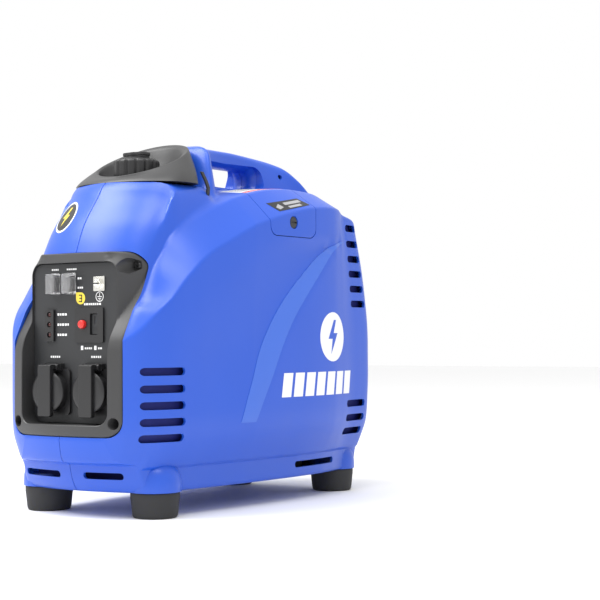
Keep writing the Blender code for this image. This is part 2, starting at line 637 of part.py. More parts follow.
def engine(cast, steel, dark, rubber):
    box("engine_base", (-92, -62, 46), (92, 128, 49), steel)
    for name, y in (("front", -48), ("rear", 112)):
        box(f"engine_mount_{name}", (-80, y - 9, 33.6), (80, y + 9, 46 - GAP), rubber)

    case = box("crankcase", (-44, -35, 49 + GAP), (66, 75, 185), cast)
    combine(case, [box("oil_neck", (-40, 70, 52), (0, 124, 82), cast),
                   box("oil_spout", (-92, 92, 53), (-36, 123, 81), cast)], "UNION")
    combine(case, [box("sump", (-37, -27, 58), (80, 67, 177), cast),
                   prism("bearing", circle(CRANK_Y, CRANK_Z, 12.4, 20), "x", -60, -30, cast),
                   prism("bore", circle(14, CRANK_Y, 27, 24), "z", 170, 200, cast)])
    box("crankcase_cover", (66 + GAP, -35, 49 + GAP), (73, 75, 185), cast)

    fins = [(14 + a, b) for a, b in comb(42, 185 + GAP, 255, 9, 9, 3.5)]
    barrel = prism("cylinder", fins, "y", -17, 57, cast)
    combine(barrel, [prism("bore", circle(14, CRANK_Y, 27, 24), "z", 180, 260, cast)])
    fins = [(14 + a, b) for a, b in comb(46, 255 + GAP, 288, 8, 9, 3.5)]
    head = prism("cylinder_head", fins, "y", -20, 62, cast)
    combine(head, [box("plug_boss", (40, 2, 262), (84, 28, 284), cast)], "UNION")
    combine(head, [prism("plug_thread", circle(74, 14, 6.4, 12), "z", 250, 290, cast)])
    prism("valve_cover", round_box(-24, -14, 52, 54, 10), "z", 288 + GAP, 308, dark)

    turned("spark_plug", [(0, 262), (6, 262), (6, 284 + GAP), (10, 284 + GAP), (10, 292), (5.5, 292),
                          (5.5, 316), (0, 316)], "z", (74, 14), steel, 12)
    cap = prism("spark_plug_cap", circle(74, 14, 9.5, 16), "z", 296, 328, rubber)
    combine(cap, [prism("socket", circle(74, 14, 6, 16), "z", 290, 318, rubber)])

    shaft = turned("crankshaft", [(0, -89), (7, -89), (7, -83), (12, -83), (12, -30), (36, -30), (36, -16),
                                  (0, -16)], "x", (CRANK_Y, CRANK_Z), steel, 16,
                   (0, CRANK_Y, CRANK_Z))
    far = turned("far_web", [(0, 42), (36, 42), (36, 56), (12, 56), (12, 64), (0, 64)], "x",
                 (CRANK_Y, CRANK_Z), steel, 16)
    pin = prism("crank_pin", circle(CRANK_Y, CRANK_Z + 22, 10, 10), "x", -18, 44, steel)
    combine(shaft, [pin, far], "UNION")


def alternator(cast, steel, black, copper):
    turned("flywheel_rotor", [(12.3, -82.5), (66, -82.5), (66, -50), (61, -50), (61, -77), (12.3, -77)],
           "x", (CRANK_Y, CRANK_Z), steel, 24, (-66, CRANK_Y, CRANK_Z))
    poles = []
    for k in range(36):
        radius = 58.5 if k % 4 < 2 else 44
        angle = 2 * math.pi * k / 36
        poles.append((CRANK_Y + radius * math.cos(angle), CRANK_Z + radius * math.sin(angle)))
    stator = prism("stator", poles, "x", -74, -48, copper)
    combine(stator, [prism("boss", circle(CRANK_Y, CRANK_Z, 20, 20), "x", -50, -44 - GAP, copper)], "UNION")
    combine(stator, [prism("bore", circle(CRANK_Y, CRANK_Z, 14, 20), "x", -90, -40, copper)])
    turned("fan_shroud", [(70, -88), (74, -88), (74, -46), (70, -46)], "x", (CRANK_Y, CRANK_Z), black, 20)
    fins = [(a, b) for a, b in comb(72, 82, 198, 14, 12, 5)]
    prism("inverter_module", fins, "y", -200, -152, cast)


def fuel_and_air(cast, black):
    carb = box("carburettor", (-72, 70, 236), (-34, 104, 282), cast)
    combine(carb, [prism("throat", circle(87, 262, 9, 16), "x", -90, -20, cast)])
    cleaner = prism("air_cleaner", round_box(58, 206, 186, 334, 10), "x", -128, -84, black)
    combine(cleaner, [prism("intake", circle(87, 262, 9, 16), "x", -100, -70, black)])
    turned("oil_filler_cap", [(0, -108), (11, -108), (13, -105), (13, -92 - GAP), (0, -92 - GAP)], "x",
           (108, 67), black, 16, (-98, 108, 67))
    box("ignition_coil", (-74, -84, 150), (-50, -60, 182), black)


def build():
    clear_scene()
    blue = material("blue_plastic", (0.045, 0.13, 0.68), 0.38)
    black = material("black_plastic", (0.02, 0.02, 0.022), 0.5)
    panel = material("panel_plastic", (0.03, 0.032, 0.036), 0.55)
    rubber = material("black_rubber", (0.015, 0.015, 0.016), 0.75)
    clear = material("clear_boot", (0.75, 0.75, 0.75), 0.25, 0.0, 0.4)
    red = material("red_plastic", (0.75, 0.03, 0.03), 0.35)
    steel = material("steel", (0.5, 0.5, 0.52), 0.35, 1.0)
    cast = material("cast_aluminium", (0.6, 0.6, 0.62), 0.5, 1.0)
    copper = material("stator_windings", (0.5, 0.22, 0.1), 0.45, 0.8)
    dark = material("heat_black", (0.03, 0.03, 0.03), 0.6, 0.3)
    cord = material("starter_cord", (0.05, 0.05, 0.05), 0.9)
    tank = material("tank_plastic", (0.08, 0.08, 0.08), 0.5)

    casings(blue)
    hood_collar(black)
    fuel_cap(black, rubber)
    fuel_tank(tank)
    feet(rubber)
    panel_bezel(black)
    control_panel(panel)
    switches(black, clear)
    panel_fittings(black, red, steel)
    ac_sockets(black)
    cover_fittings(black, steel)
    recoil_starter(black, cord, steel)
    rear_grille(black)
    exhaust(steel, dark)
    engine(cast, steel, dark, rubber)
    alternator(cast, steel, black, copper)
    fuel_and_air(cast, black)


build()
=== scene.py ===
import json
import math

import bmesh
import bpy
import numpy as np
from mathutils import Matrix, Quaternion, Vector
from mathutils.bvhtree import BVHTree
from mathutils.geometry import tessellate_polygon


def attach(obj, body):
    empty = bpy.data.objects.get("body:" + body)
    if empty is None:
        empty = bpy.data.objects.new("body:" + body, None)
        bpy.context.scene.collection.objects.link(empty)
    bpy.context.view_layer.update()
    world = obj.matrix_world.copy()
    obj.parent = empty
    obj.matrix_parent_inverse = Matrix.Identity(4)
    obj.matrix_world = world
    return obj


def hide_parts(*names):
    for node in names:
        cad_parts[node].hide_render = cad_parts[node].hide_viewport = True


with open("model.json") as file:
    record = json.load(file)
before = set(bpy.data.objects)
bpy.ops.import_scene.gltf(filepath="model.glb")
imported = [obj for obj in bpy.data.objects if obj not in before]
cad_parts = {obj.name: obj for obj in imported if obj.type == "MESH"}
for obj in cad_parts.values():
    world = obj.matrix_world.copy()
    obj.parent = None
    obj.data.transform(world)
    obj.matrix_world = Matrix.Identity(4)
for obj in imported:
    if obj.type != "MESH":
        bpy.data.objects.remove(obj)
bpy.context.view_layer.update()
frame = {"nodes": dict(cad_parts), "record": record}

# Sizes are written in millimetres and become metres when a mesh is made.
# Front is -Y, up is +Z, the starter is on the -X side and the spark plug hatch on the +X side.
MM = 0.001
WALL = 3.0
RIM = 12.0                       # width of the rim round the front and rear mouths
SEAM = 0.3                       # half the gap between the two casing halves
HOUSING = "housing"
FRONT_RADIUS, REAR_RADIUS = 250.0, 330.0
DECK = 396.0
FOOT_X, FOOT_Y = 83.5, 189.5
CAP_Y = -122.0
HOOD_BACK, HOOD_SLOPE = -58, 0.455
PANEL = -234.0
SOCKET_X, SOCKET_Z = 32.0, 146.0
ROPE_Y, ROPE_Z = -92.0, 118.0
HATCH = (-33, 335, 62, 441)      # y0, z0, y1, z1
SERVICE = (19, 64, 205, 374)
STARTER = (-125, 90, -59, 226)   # the recess of the starter grip
COVER_GAP = 0.45                 # half the gap round a cover
BEZEL = (-84, 95, 84, 309)       # x0, z0, x1, z1
BEZEL_SCREW_X, BEZEL_SCREWS_Z = 74.5, (293, 111)
SWITCHES = {"econ_switch": -31.0, "engine_switch": -6.0}
SWITCH_Z = 273
LAMP_X, LAMPS_Z = -39, (237, 225, 213)
BREAKER = (14, 225)
EARTH = (38, 272)
HINGE_Y, HINGE_Z = -242.0, SOCKET_Z + 29
HATCH_SCREW, COVER_SCREW, LOCK = (14, 353), (105, 387), (-35, 150)
GRIP_FACE, KNOB_TOP = -143.8, 438.0
ROUNDEL = (103, 209)
BADGE = (-44, 355)
CREASE_Z, TUCK_Z, SIDE_Z = 60.0, 92.0, 112.0
SWEEP_DEPTH = 6.0
SLOT_HALF = 4.6
FRONT_SLOTS = (170, 150, 131, 112, 93.5)
REAR_SLOTS = (354, 333, 313, 293, 273, 253)
LOW_SLOTS = (172, 151, 131, 111, 92)
LOW_SLOTS_RIGHT = (120, 101, 83)
CAMERA_SPOT, CAMERA_AIM = (1.2262, -1.5783, 0.2085), (0.1048, 0.0826, 0.2573)     # metres
CAMERA_LENS, CAMERA_ROLL = 91.99, -0.3                                           # millimetres, degrees
HANDLE_HOLES = ((-1, 135, 427), (-1, -42, 441), (1, 137, 427))      # side, y, z


# ------------------------------------------------------------------ materials
def material(name, colour, roughness, metallic=0.0, grain=0.0, grain_mm=0.7, mottle=0.06, **sockets):
    """A moulded or metal surface: fine grain, faint mottling of its colour and uneven gloss."""
    made = bpy.data.materials.new(name)
    made.use_nodes = True
    nodes, links = made.node_tree.nodes, made.node_tree.links
    shader = nodes["Principled BSDF"]
    place = nodes.new("ShaderNodeTexCoord")
    cloud = nodes.new("ShaderNodeTexNoise")
    cloud.inputs["Scale"].default_value = 14.0
    cloud.inputs["Detail"].default_value = 5.0
    links.new(place.outputs["Object"], cloud.inputs["Vector"])
    tint = nodes.new("ShaderNodeMix")
    tint.data_type = "RGBA"
    tint.inputs["A"].default_value = (*[c * (1 - mottle) for c in colour], 1)
    tint.inputs["B"].default_value = (*[min(c * (1 + mottle), 1) for c in colour], 1)
    links.new(cloud.outputs["Fac"], tint.inputs["Factor"])
    links.new(tint.outputs["Result"], shader.inputs["Base Color"])
    gloss = nodes.new("ShaderNodeMapRange")
    gloss.inputs["From Min"].default_value = 0.3
    gloss.inputs["From Max"].default_value = 0.7
    gloss.inputs["To Min"].default_value = roughness - 0.035
    gloss.inputs["To Max"].default_value = roughness + 0.035
    links.new(cloud.outputs["Fac"], gloss.inputs["Value"])
    links.new(gloss.outputs["Result"], shader.inputs["Roughness"])
    if grain:
        speck = nodes.new("ShaderNodeTexNoise")
        speck.inputs["Scale"].default_value = 1000.0 / grain_mm
        speck.inputs["Detail"].default_value = 2.0
        links.new(place.outputs["Object"], speck.inputs["Vector"])
        bump = nodes.new("ShaderNodeBump")
        bump.inputs["Strength"].default_value = grain
        bump.inputs["Distance"].default_value = 0.0002
        links.new(speck.outputs["Fac"], bump.inputs["Height"])
        links.new(bump.outputs["Normal"], shader.inputs["Normal"])
    shader.inputs["Metallic"].default_value = metallic
    for socket, value in sockets.items():
        shader.inputs[socket.replace("_", " ")].default_value = value
    return made


BLUE = material("moulded_blue", (0.014, 0.082, 0.52), 0.34, grain=0.25, mottle=0.03)
# Lighter blue for the strips on the flanks: painted highlight, the light the bevelled step catches from
# above.
SWEEP_HIGHLIGHT = material("painted_highlight_blue", (0.044, 0.132, 0.57), 0.34, grain=0.25, mottle=0.03)
# Darkened navy: painted shade behind the slots, in the starter recess and in the lock hole.
SHADE_NAVY = material("painted_shade_navy", (0.003, 0.009, 0.15), 0.75, grain=0.2)
HOOD = material("hood_black", (0.036, 0.036, 0.037), 0.42, grain=0.35, grain_mm=0.6)
BLACK = material("moulded_black", (0.014, 0.014, 0.015), 0.40, grain=0.3)
PANEL_BLACK = material("panel_black", (0.019, 0.020, 0.022), 0.48, grain=0.25, grain_mm=0.5)
FLAP_BLACK = material("flap_black", (0.013, 0.013, 0.014), 0.34, grain=0.2)
# Also the dark sheet behind the rear louvres, where it is painted shade.
INNER_AND_SHADE = material("inner_and_shade_black", (0.03, 0.03, 0.03), 0.6, grain=0.3)
RUBBER = material("foot_rubber", (0.018, 0.018, 0.019), 0.68, grain=0.5, grain_mm=0.9, mottle=0.12)
CLEAR = material("clear_boot", (0.92, 0.92, 0.93), 0.12, mottle=0.02, Transmission_Weight=0.9, IOR=1.3)
RED = material("button_red", (0.72, 0.03, 0.025), 0.3, mottle=0.05)
STEEL = material("zinc_steel", (0.55, 0.55, 0.56), 0.32, 1.0, grain=0.15, mottle=0.1)
BRIGHT = material("terminal_plate", (0.80, 0.79, 0.74), 0.25, 1.0, grain=0.1, mottle=0.08)
CAST = material("cast_aluminium", (0.5, 0.5, 0.51), 0.55, 0.9, grain=0.8, grain_mm=1.6, mottle=0.15)
COPPER = material("varnished_copper", (0.42, 0.16, 0.06), 0.4, 0.8, grain=0.5, grain_mm=1.2, mottle=0.2)
HEAT = material("heat_black", (0.022, 0.021, 0.020), 0.62, 0.2, grain=0.6, grain_mm=0.8, mottle=0.25)
CORD = material("starter_cord", (0.03, 0.03, 0.03), 0.85, grain=0.9, grain_mm=1.1, mottle=0.3)
WHITE = material("print_white", (0.80, 0.80, 0.80), 0.4, mottle=0.02)
GREY = material("print_grey", (0.34, 0.34, 0.35), 0.5, mottle=0.04)
YELLOW = material("print_yellow", (0.80, 0.62, 0.06), 0.4, mottle=0.03)
RED_INK = material("print_red", (0.62, 0.05, 0.05), 0.4, mottle=0.03)
# Black print; also painted shade in the dark sheets behind the choke slot and the spark arrestor.
DARK_INK_AND_SHADE = material("print_and_shade_black", (0.012, 0.012, 0.013), 0.38, mottle=0.05)
LAMP = material("lamp_lens", (0.05, 0.006, 0.006), 0.15, mottle=0.1)

SLOT_LOOKS = {"blue_plastic": BLUE, "black_plastic": BLACK, "inner_plastic": INNER_AND_SHADE, "clear_boot": CLEAR,
              "panel_plastic": PANEL_BLACK, "red_plastic": RED, "black_rubber": RUBBER, "steel": STEEL,
              "cast_aluminium": CAST, "stator_windings": COPPER, "heat_black": HEAT,
              "starter_cord": CORD}
for part in frame["record"]["subparts"]:
    mesh = frame["nodes"][part["node"]].data
    mesh.materials.clear()
    mesh.materials.append(SLOT_LOOKS[part["material_slot"]])


# ------------------------------------------------------------------ mesh tools
def curve(*points):
    """A smooth line through (place, value) points that never swings past them."""
    place = np.array([p[0] for p in points], float)
    value = np.array([p[1] for p in points], float)
    step = np.diff(place)
    rise = np.diff(value) / step
    slope = np.zeros(len(place))
    for i in range(1, len(place) - 1):
        if rise[i - 1] * rise[i] > 0:
            before, after = 2 * step[i] + step[i - 1], step[i] + 2 * step[i - 1]
            slope[i] = (before + after) / (before / rise[i - 1] + after / rise[i])
    slope[0], slope[-1] = rise[0], rise[-1]

    def read(at):
        at = min(max(at, place[0]), place[-1])
        i = min(int(np.searchsorted(place, at, side="right")) - 1, len(step) - 1)
        t = (at - place[i]) / step[i]
        return float((1 + 2 * t) * (1 - t) ** 2 * value[i] + t * (1 - t) ** 2 * step[i] * slope[i]
                     + t * t * (3 - 2 * t) * value[i + 1] + t * t * (t - 1) * step[i] * slope[i + 1])
    return read


def ease(t):
    """A smooth step from 0 to 1."""
    t = min(max(t, 0.0), 1.0)
    return t * t * (3 - 2 * t)


def mix(a, b, t):
    return a + (b - a) * t


def share(at, start, length):
    """How far `at` has gone from `start` over a length: 0 before it, 1 after it."""
    return min(max((at - start) / length, 0), 1)


def grow(box4, by):
    return box4[0] - by, box4[1] - by, box4[2] + by, box4[3] + by


def on_axis(axis, first, second, along):
    """A point from its place along an axis and its two other coordinates."""
    return {"x": (along, first, second), "y": (first, along, second), "z": (first, second, along)}[axis]


def piece(name, points, faces, look, sharp=35):
    """A mesh object from points in millimetres, faces out, smooth up to its sharp edges."""
    mesh = bpy.data.meshes.new(name)
    mesh.from_pydata([Vector(p) * MM for p in points], [], faces)
    work = bmesh.new()
    work.from_mesh(mesh)
    bmesh.ops.recalc_face_normals(work, faces=work.faces)
    work.to_mesh(mesh)
    work.free()
    mesh.shade_smooth()
    mesh.set_sharp_from_angle(angle=math.radians(sharp))
    mesh.materials.append(look)
    made = bpy.data.objects.new(name, mesh)
    bpy.context.scene.collection.objects.link(made)
    return made


def round_box(a0, b0, a1, b1, radius, steps=6):
    corners = [(a1 - radius, b0 + radius, -90), (a1 - radius, b1 - radius, 0),
               (a0 + radius, b1 - radius, 90), (a0 + radius, b0 + radius, 180)]
    return [(a + radius * math.cos(math.radians(start + 90 * k / steps)),
             b + radius * math.sin(math.radians(start + 90 * k / steps)))
            for a, b, start in corners for k in range(steps + 1)]


def cut_runs(outline, up, across):
    """A round_box outline whose straight sides are cut into equal steps."""
    quarter = len(outline) // 4
    made = []
    for i in range(4):
        made += outline[i * quarter:(i + 1) * quarter]
        p, q = outline[(i + 1) * quarter - 1], outline[(i + 1) * quarter % len(outline)]
        steps = (up, across)[i % 2]
        made += [(mix(p[0], q[0], k / steps), mix(p[1], q[1], k / steps)) for k in range(1, steps)]
    return made


def circle(a, b, radius, sides=40):
    return [(a + radius * math.cos(2 * math.pi * k / sides),
             b + radius * math.sin(2 * math.pi * k / sides)) for k in range(sides)]


def loft(name, rings, look, loop=False, sharp=35):
    """Skin over rings of equal length; closed by caps, or joined end to start when `loop`."""
    points = [p for ring in rings for p in ring]
    count = len(rings[0])
    faces = []
    last = len(rings) if loop else len(rings) - 1
    for i in range(last):
        a, b = i * count, (i + 1) % len(rings) * count
        for j in range(count):
            n = (j + 1) % count
            faces.append((a + j, a + n, b + n, b + j))
    if not loop:
        faces.append(tuple(range(count)))
        faces.append(tuple(range((len(rings) - 1) * count, len(rings) * count)))
    return piece(name, points, faces, look, sharp)


def prism(name, outline, axis, low, high, look):
    return loft(name, [[on_axis(axis, a, b, along) for a, b in outline] for along in (low, high)], look)


def cutter(outline, axis, low, high):
    """A prism that only serves in a Boolean."""
    return prism("cutter", outline, axis, low, high, BLUE)


def flank_cutter(outline, side, near, far):
    """A cutter through one flank, between two distances from the middle."""
    return cutter(outline, "x", *sorted((side * near, side * far)))


def turned(name, profile, axis, centre, look, sides=48):
    """(radius, along) points turned about an axis; it may start and end on the axis."""
    rings = []
    for radius, along in profile:
        r = max(radius, 0.01)
        rings.append([on_axis(axis, centre[0] + r * math.cos(2 * math.pi * k / sides),
                              centre[1] + r * math.sin(2 * math.pi * k / sides), along)
                      for k in range(sides)])
    return loft(name, rings, look, loop=profile[0][0] > 0)


def soften(item, width, segments=3):
    """Round every hard edge of a finished piece."""
    bevel = item.modifiers.new("edges", "BEVEL")
    bevel.width = width * MM
    bevel.segments = segments
    bevel.limit_method = "ANGLE"
    bevel.angle_limit = math.radians(32)
    bevel.miter_outer = "MITER_ARC"
    bevel.use_clamp_overlap = True
    even = item.modifiers.new("even", "WEIGHTED_NORMAL")
    even.keep_sharp = False
    even.weight = 80
    return item


def combine(target, tools, operation="DIFFERENCE", sharp=35):
    """One Boolean of `target` with all the `tools`, which are then removed."""
    group = bpy.data.collections.new("tools")
    for tool in tools:
        group.objects.link(tool)
    step = target.modifiers.new("combine", "BOOLEAN")
    step.operation = operation
    step.solver = "MANIFOLD"
    step.operand_type = "COLLECTION"
    step.collection = group
    bpy.context.view_layer.update()
    result = bpy.data.meshes.new_from_object(target.evaluated_get(bpy.context.evaluated_depsgraph_get()))
    look = target.data.materials[0]
    target.modifiers.clear()
    target.data = result
    result.materials.clear()
    result.materials.append(look)
    result.polygons.foreach_set("material_index", [0] * len(result.polygons))
    for tool in tools:
        bpy.data.objects.remove(tool, do_unlink=True)
    bpy.data.collections.remove(group)
    result.shade_smooth()
    result.set_sharp_from_angle(angle=math.radians(sharp))
    return target


def duplicate(source, name):
    copy = source.copy()
    copy.data = source.data.copy()
    copy.name = name
    bpy.context.scene.collection.objects.link(copy)
    return copy


def join(name, items):
    """Several finished pieces become one mesh object."""
    bpy.context.view_layer.update()
    graph = bpy.context.evaluated_depsgraph_get()
    work = bmesh.new()
    looks = []
    for item in items:
        mesh = bpy.data.meshes.new_from_object(item.evaluated_get(graph))
        look = mesh.materials[0]
        if look not in looks:
            looks.append(look)
        for polygon in mesh.polygons:
            polygon.material_index = looks.index(look)
        work.from_mesh(mesh)
    made = bpy.data.objects.new(name, bpy.data.meshes.new(name))
    work.to_mesh(made.data)
    work.free()
    for look in looks:
        made.data.materials.append(look)
    bpy.context.scene.collection.objects.link(made)
    for item in items:
        bpy.data.objects.remove(item, do_unlink=True)
    made.data.set_sharp_from_angle(angle=math.radians(35))
    return made


def place(item, body, slot, *nodes):
    """Ride on a body and stand for CAD nodes; the slot argument is not used."""
    if not any(step.type == "WEIGHTED_NORMAL" for step in item.modifiers):
        even = item.modifiers.new("even", "WEIGHTED_NORMAL")
        even.keep_sharp = True
    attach(item, body)
    if nodes:
        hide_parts(*nodes)
    return item


# ------------------------------------------------------------------ form of the casing
# The first nine curves read (station along the body, value): half width and underside, then lower edge,
# upper edge and x of the shoulder band, then top, x, foot and rounding of the handle ridge. The last four
# read (height, value): rounding of the nose, line and width of the flank strip, and draw-in of the tail.
half_width = curve((-262, 85), (-258, 96), (-250, 107), (-238, 115), (-220, 121), (-190, 126),
                   (-150, 130), (-100, 135), (-50, 139), (0, 142), (60, 144),
                   (110, 142.5), (150, 138.5), (188, 133.5), (215, 131.5), (232, 130), (240, 127), (246, 114))
underside = curve((-262, 90), (-260, 78), (-258, 70), (-256, 66.5), (-254, 65), (-246, 63), (-244, 61.5),
                  (-242, 53), (-240, 46), (-236, 37), (-232, 31.5), (-228, 29.8), (-222, 29.5), (222, 29.5),
                  (230, 34), (234, 46), (238, 60), (242, 64), (246, 80))
band_low = curve((-262, 205), (-245, 236), (-226, 257), (-203, 282), (-171, 304), (-117, 326), (-41, 351),
                 (17, 366), (61, 374), (108, 377), (150, 376), (180, 373), (205, 370), (229, 367),
                 (240, 363), (246, 352))
band_high = curve((-262, 206), (-252, 226), (-245, 240), (-232, 254), (-222, 273), (-216, 288), (-203, 306),
                  (-186, 325), (-164, 340), (-136, 354), (-88, 372), (-41, 386), (17, 397), (60, 400),
                  (105, 399), (140, 394), (169, 387), (205, 379), (229, 374), (240, 370), (246, 360))
band_x = curve((-262, 84), (-240, 85.5), (-216, 87), (-203, 89), (-186, 93), (-164, 96), (-136, 99),
               (-88, 103), (60, 106), (124, 106), (169, 104), (205, 100), (229, 94), (246, 86))
ridge_top = curve((-262, 208), (-252, 242), (-242, 278), (-233, 308), (-219, 342), (-205, 363),
                  (-195, 376), (-180, 396), (-81, 396), (-57, 449), (-19, 455), (41, 455),
                  (121, 450), (161, 444), (176, 439), (189, 431), (200, 422), (212, 407), (223, 390),
                  (230, 374), (237, 354), (246, 328))
ridge_x = curve((-262, 56), (-248, 63), (-240, 71), (-228, 77), (-215, 81), (-203, 83), (-195, 84),
                (-180, 84), (-100, 80), (-81, 70), (-57, 62),
                (-45, 50), (-31, 37), (-14, 24), (3, 18), (38, 17), (72, 18), (107, 22), (141, 29),
                (176, 41), (210, 56), (229, 58), (246, 50))
foot_x = curve((-262, 78), (-240, 84), (-215, 86), (-203, 88), (-186, 90), (-164, 92), (-100, 92),
               (-81, 84), (-57, 74), (-45, 62), (-31, 50), (-14, 38), (3, 26), (38, 22), (72, 25),
               (107, 37), (141, 46), (176, 53), (210, 60), (229, 62), (246, 56))
ridge_round = curve((-262, 8), (-240, 22), (-215, 26), (-180, 24), (-100, 18), (-57, 16), (-14, 13),
                    (72, 12), (141, 13), (210, 16), (246, 12))
nose_round = curve((215, 0), (260, 0.0006), (306, 0.0014), (345, 0.0024), (391, 0.0037), (400, 0.0037))
arc_line = curve((43, -115), (86, -97), (130, -79), (156, -66), (193, -49), (218, -33), (242, -14), (268, 13),
                 (291, 42), (312, 72), (327, 104), (336, 136), (345, 180))
arc_width = curve((100, 26), (150, 32), (200, 36), (250, 36), (300, 28), (336, 10))
tail = curve((55, 6), (72, 4), (114, 3), (160, 0), (200, 0), (221, 1), (260, 7), (297, 15), (330, 25),
             (352, 32), (372, 36), (400, 36))


def spread(*spans):
    """Stations from (start, end, step) spans."""
    places = []
    for start, end, step in spans:
        count = round((end - start) / step)
        places += [start + (end - start) * k / count for k in range(count)]
    return places + [spans[-1][1]]


STATIONS = spread((-262, -226, 2), (-226, -186, 4), (-186, -84, 6), (-84, -54, 2.5), (-54, 120, 5.8),
                  (120, 200, 5), (200, 246, 2.3))
HOLLOW = (-60.0, 120.0)          # the stations under the handle, where the inner skin stays below it


def bend(x, station):
    """Stations lie on arcs seen from above, so the nose and the tail are bowed."""
    front = share(-station, 60, 140)
    rear = share(station, 90, 110)
    return station + front * x * x / (2 * FRONT_RADIUS) - rear * x * x / (2 * REAR_RADIUS)


def filleted(corners):
    """(x, z, tangent length, arc steps, steps of the run that leads to it) become one smooth line."""
    line = [corners[0][:2]]
    start = corners[0][:2]
    for i in range(1, len(corners)):
        x, z, tangent, arc, run = corners[i]
        before = math.dist((x, z), corners[i - 1][:2])
        if i + 1 < len(corners):
            after = math.dist((x, z), corners[i + 1][:2])
            t = min(tangent, 0.46 * before, 0.46 * after)
            a = (mix(x, corners[i - 1][0], t / before), mix(z, corners[i - 1][1], t / before))
            b = (mix(x, corners[i + 1][0], t / after), mix(z, corners[i + 1][1], t / after))
        else:
            a = b = (x, z)
        line += [(mix(start[0], a[0], k / run), mix(start[1], a[1], k / run)) for k in range(1, run + 1)]
        for k in range(1, arc + 1):
            u = k / arc
            line.append((mix(mix(a[0], x, u), mix(x, b[0], u), u),
                         mix(mix(a[1], z, u), mix(z, b[1], u), u)))
        start = b
    return line


def half_section(station, inset=0.0):
    """Half cross-section (x, z) from the bottom seam, round the side, to the top seam."""
    width, low = half_width(station), underside(station)
    skirt = width - 22
    ridge, foot = ridge_x(station), foot_x(station)
    n, thin = inset, inset / WALL
    crease = max(CREASE_Z, low + 4)
    lip = max(crease - 3 + thin, low + n + 0.4)
    edge = max(crease + thin, lip + 0.6)
    tuck = max(TUCK_Z, edge + 4)
    side = max(SIDE_Z, tuck + 6)
    band = max(band_low(station), side + 20)
    upper = max(band_high(station), band + 1)
    top = max(ridge_top(station), upper + 2)
    root = min(upper + 0.35 * (top - upper), upper + 4.5)
    crown = min(1.6, 0.3 * (top - root))
    lap = 0 if inset else 0.9
    corners = [(SEAM, low + n + lap, 0, 0, 0), (SEAM + 0.9, low + n, 0.5, 2, 1),
               (skirt - n - 1, low + n, 5, 3, 6), (skirt - n - 0.5, lip, 0.8, 2, 2),
               (skirt + 3 - n, edge, 1.2, 2, 1), (width - 3 - n, tuck, 14, 4, 3),
               (width - n, side, 8, 2, 1), (width - n, min(band - thin, upper - n - 0.3), 3.5, 3, 26),
               (band_x(station) - thin, upper - n, 3.0, 3, 5), (foot - n, root - n, 5, 3, 6)]
    peak = top - crown - n
    if inset and HOLLOW[0] < station < HOLLOW[1]:
        peak = root - n + 0.02
        corners += [(0.7 * foot, peak, 2, 6, 5), (SEAM + 0.9, peak + 0.02, 0.5, 2, 7),
                    (SEAM, peak + 0.03, 0, 0, 1)]
    else:
        corners += [(ridge - n, peak, ridge_round(station), 6, 5), (SEAM + 0.9, top - n, 0.5, 2, 7),
                    (SEAM, top - n - lap, 0, 0, 1)]
    return filleted(corners)


def skin_point(side, x, station, z, shrink=1.0):
    """A casing point, with the shallow step that sweeps up each flank."""
    y = bend(x, station * shrink)
    y += share(-station, 60, 140) * nose_round(z) * min(x, 80) ** 2 * (1 - ease((x - 80) / 14))
    outward = ease((x - 50) / 70)
    y -= (tail(z) * outward + 0.35 * max(z - 330, 0) * (1 - outward)) * ease((station - 110) / 130)
    if x > 100 and 100 < z < 344:
        behind = y - arc_line(z)
        depth = SWEEP_DEPTH * ease((z - 100) / 110) * ease((344 - z) / 24)
        x -= depth * (1 - share(behind, 0, arc_width(z))) * (1 - ease((-behind - 10) / 150))
    return side * x, y, z


def half_shell(name, side):
    """An outer and an inner skin, joined along the seam and round the two mouths."""
    points, faces, skins = [], [], []
    for inset in (0.0, WALL):
        shrink = 1 - inset / 262
        grid = []
        for station in STATIONS:
            row = []
            end = station in (STATIONS[0], STATIONS[-1])
            for x, z in half_section(station, RIM if inset and end else inset):
                row.append(len(points))
                points.append(skin_point(side, x, station, z, shrink))
            grid.append(row)
        skins.append(grid)
    outer, inner = skins
    count = len(outer[0])
    for grid in skins:
        for here, after in zip(grid, grid[1:]):
            for j in range(count - 1):
                faces.append((here[j], here[j + 1], after[j + 1], after[j]))
    for j in (0, count - 1):
        for i in range(len(STATIONS) - 1):
            faces.append((outer[i][j], outer[i + 1][j], inner[i + 1][j], inner[i][j]))
    for i in (0, len(STATIONS) - 1):
        for j in range(count - 1):
            faces.append((outer[i][j], outer[i][j + 1], inner[i][j + 1], inner[i][j]))
    return piece(name, points, faces, BLUE)


# ------------------------------------------------------------------ casings and their covers
def side_slots(side):
    """Cutters for the louvre slots of one flank, from (front end, rear end, height)."""
    rows = [(-236, -181, z) for z in FRONT_SLOTS]
    rows += [(150 + 2.4 * k, 181 + 4.3 * k, z) for k, z in enumerate(REAR_SLOTS)]
    rows += [(152, 200, z) for z in LOW_SLOTS] if side < 0 else [(147, 200, z) for z in LOW_SLOTS_RIGHT]
    return [flank_cutter(round_box(y0, z - SLOT_HALF, y1, z + SLOT_HALF, SLOT_HALF - 0.2, 4), side, 90, 165)
            for y0, y1, z in rows]


def finger_gap():
    """The hole under the handle, flared towards both sides so that the grip is round."""
    rings = []
    for x in (-130, -30, -19, -17, -14.5, -11, -6, 0, 6, 11, 14.5, 17, 19, 30, 130):
        flare = 8.0 * share(abs(x), 4, 15) ** 2.4
        outline = round_box(-36 - 0.8 * flare, 404.5, 98 + 0.8 * flare, 432 + 0.75 * flare, 13, 8)
        rings.append([(x, y, z) for y, z in outline])
    return loft("finger_gap", rings, BLUE)


def boss(side, y):
    """The dome over a foot."""
    dome = [(0, 66), (8, 65.6), (15, 64), (21, 61), (26, 56), (29.2, 50), (30.6, 43), (31, 36), (31, 30.2),
            (30.4, 29.9), (0, 29.9)]
    return turned("boss", dome, "z", (side * FOOT_X, y), BLUE)


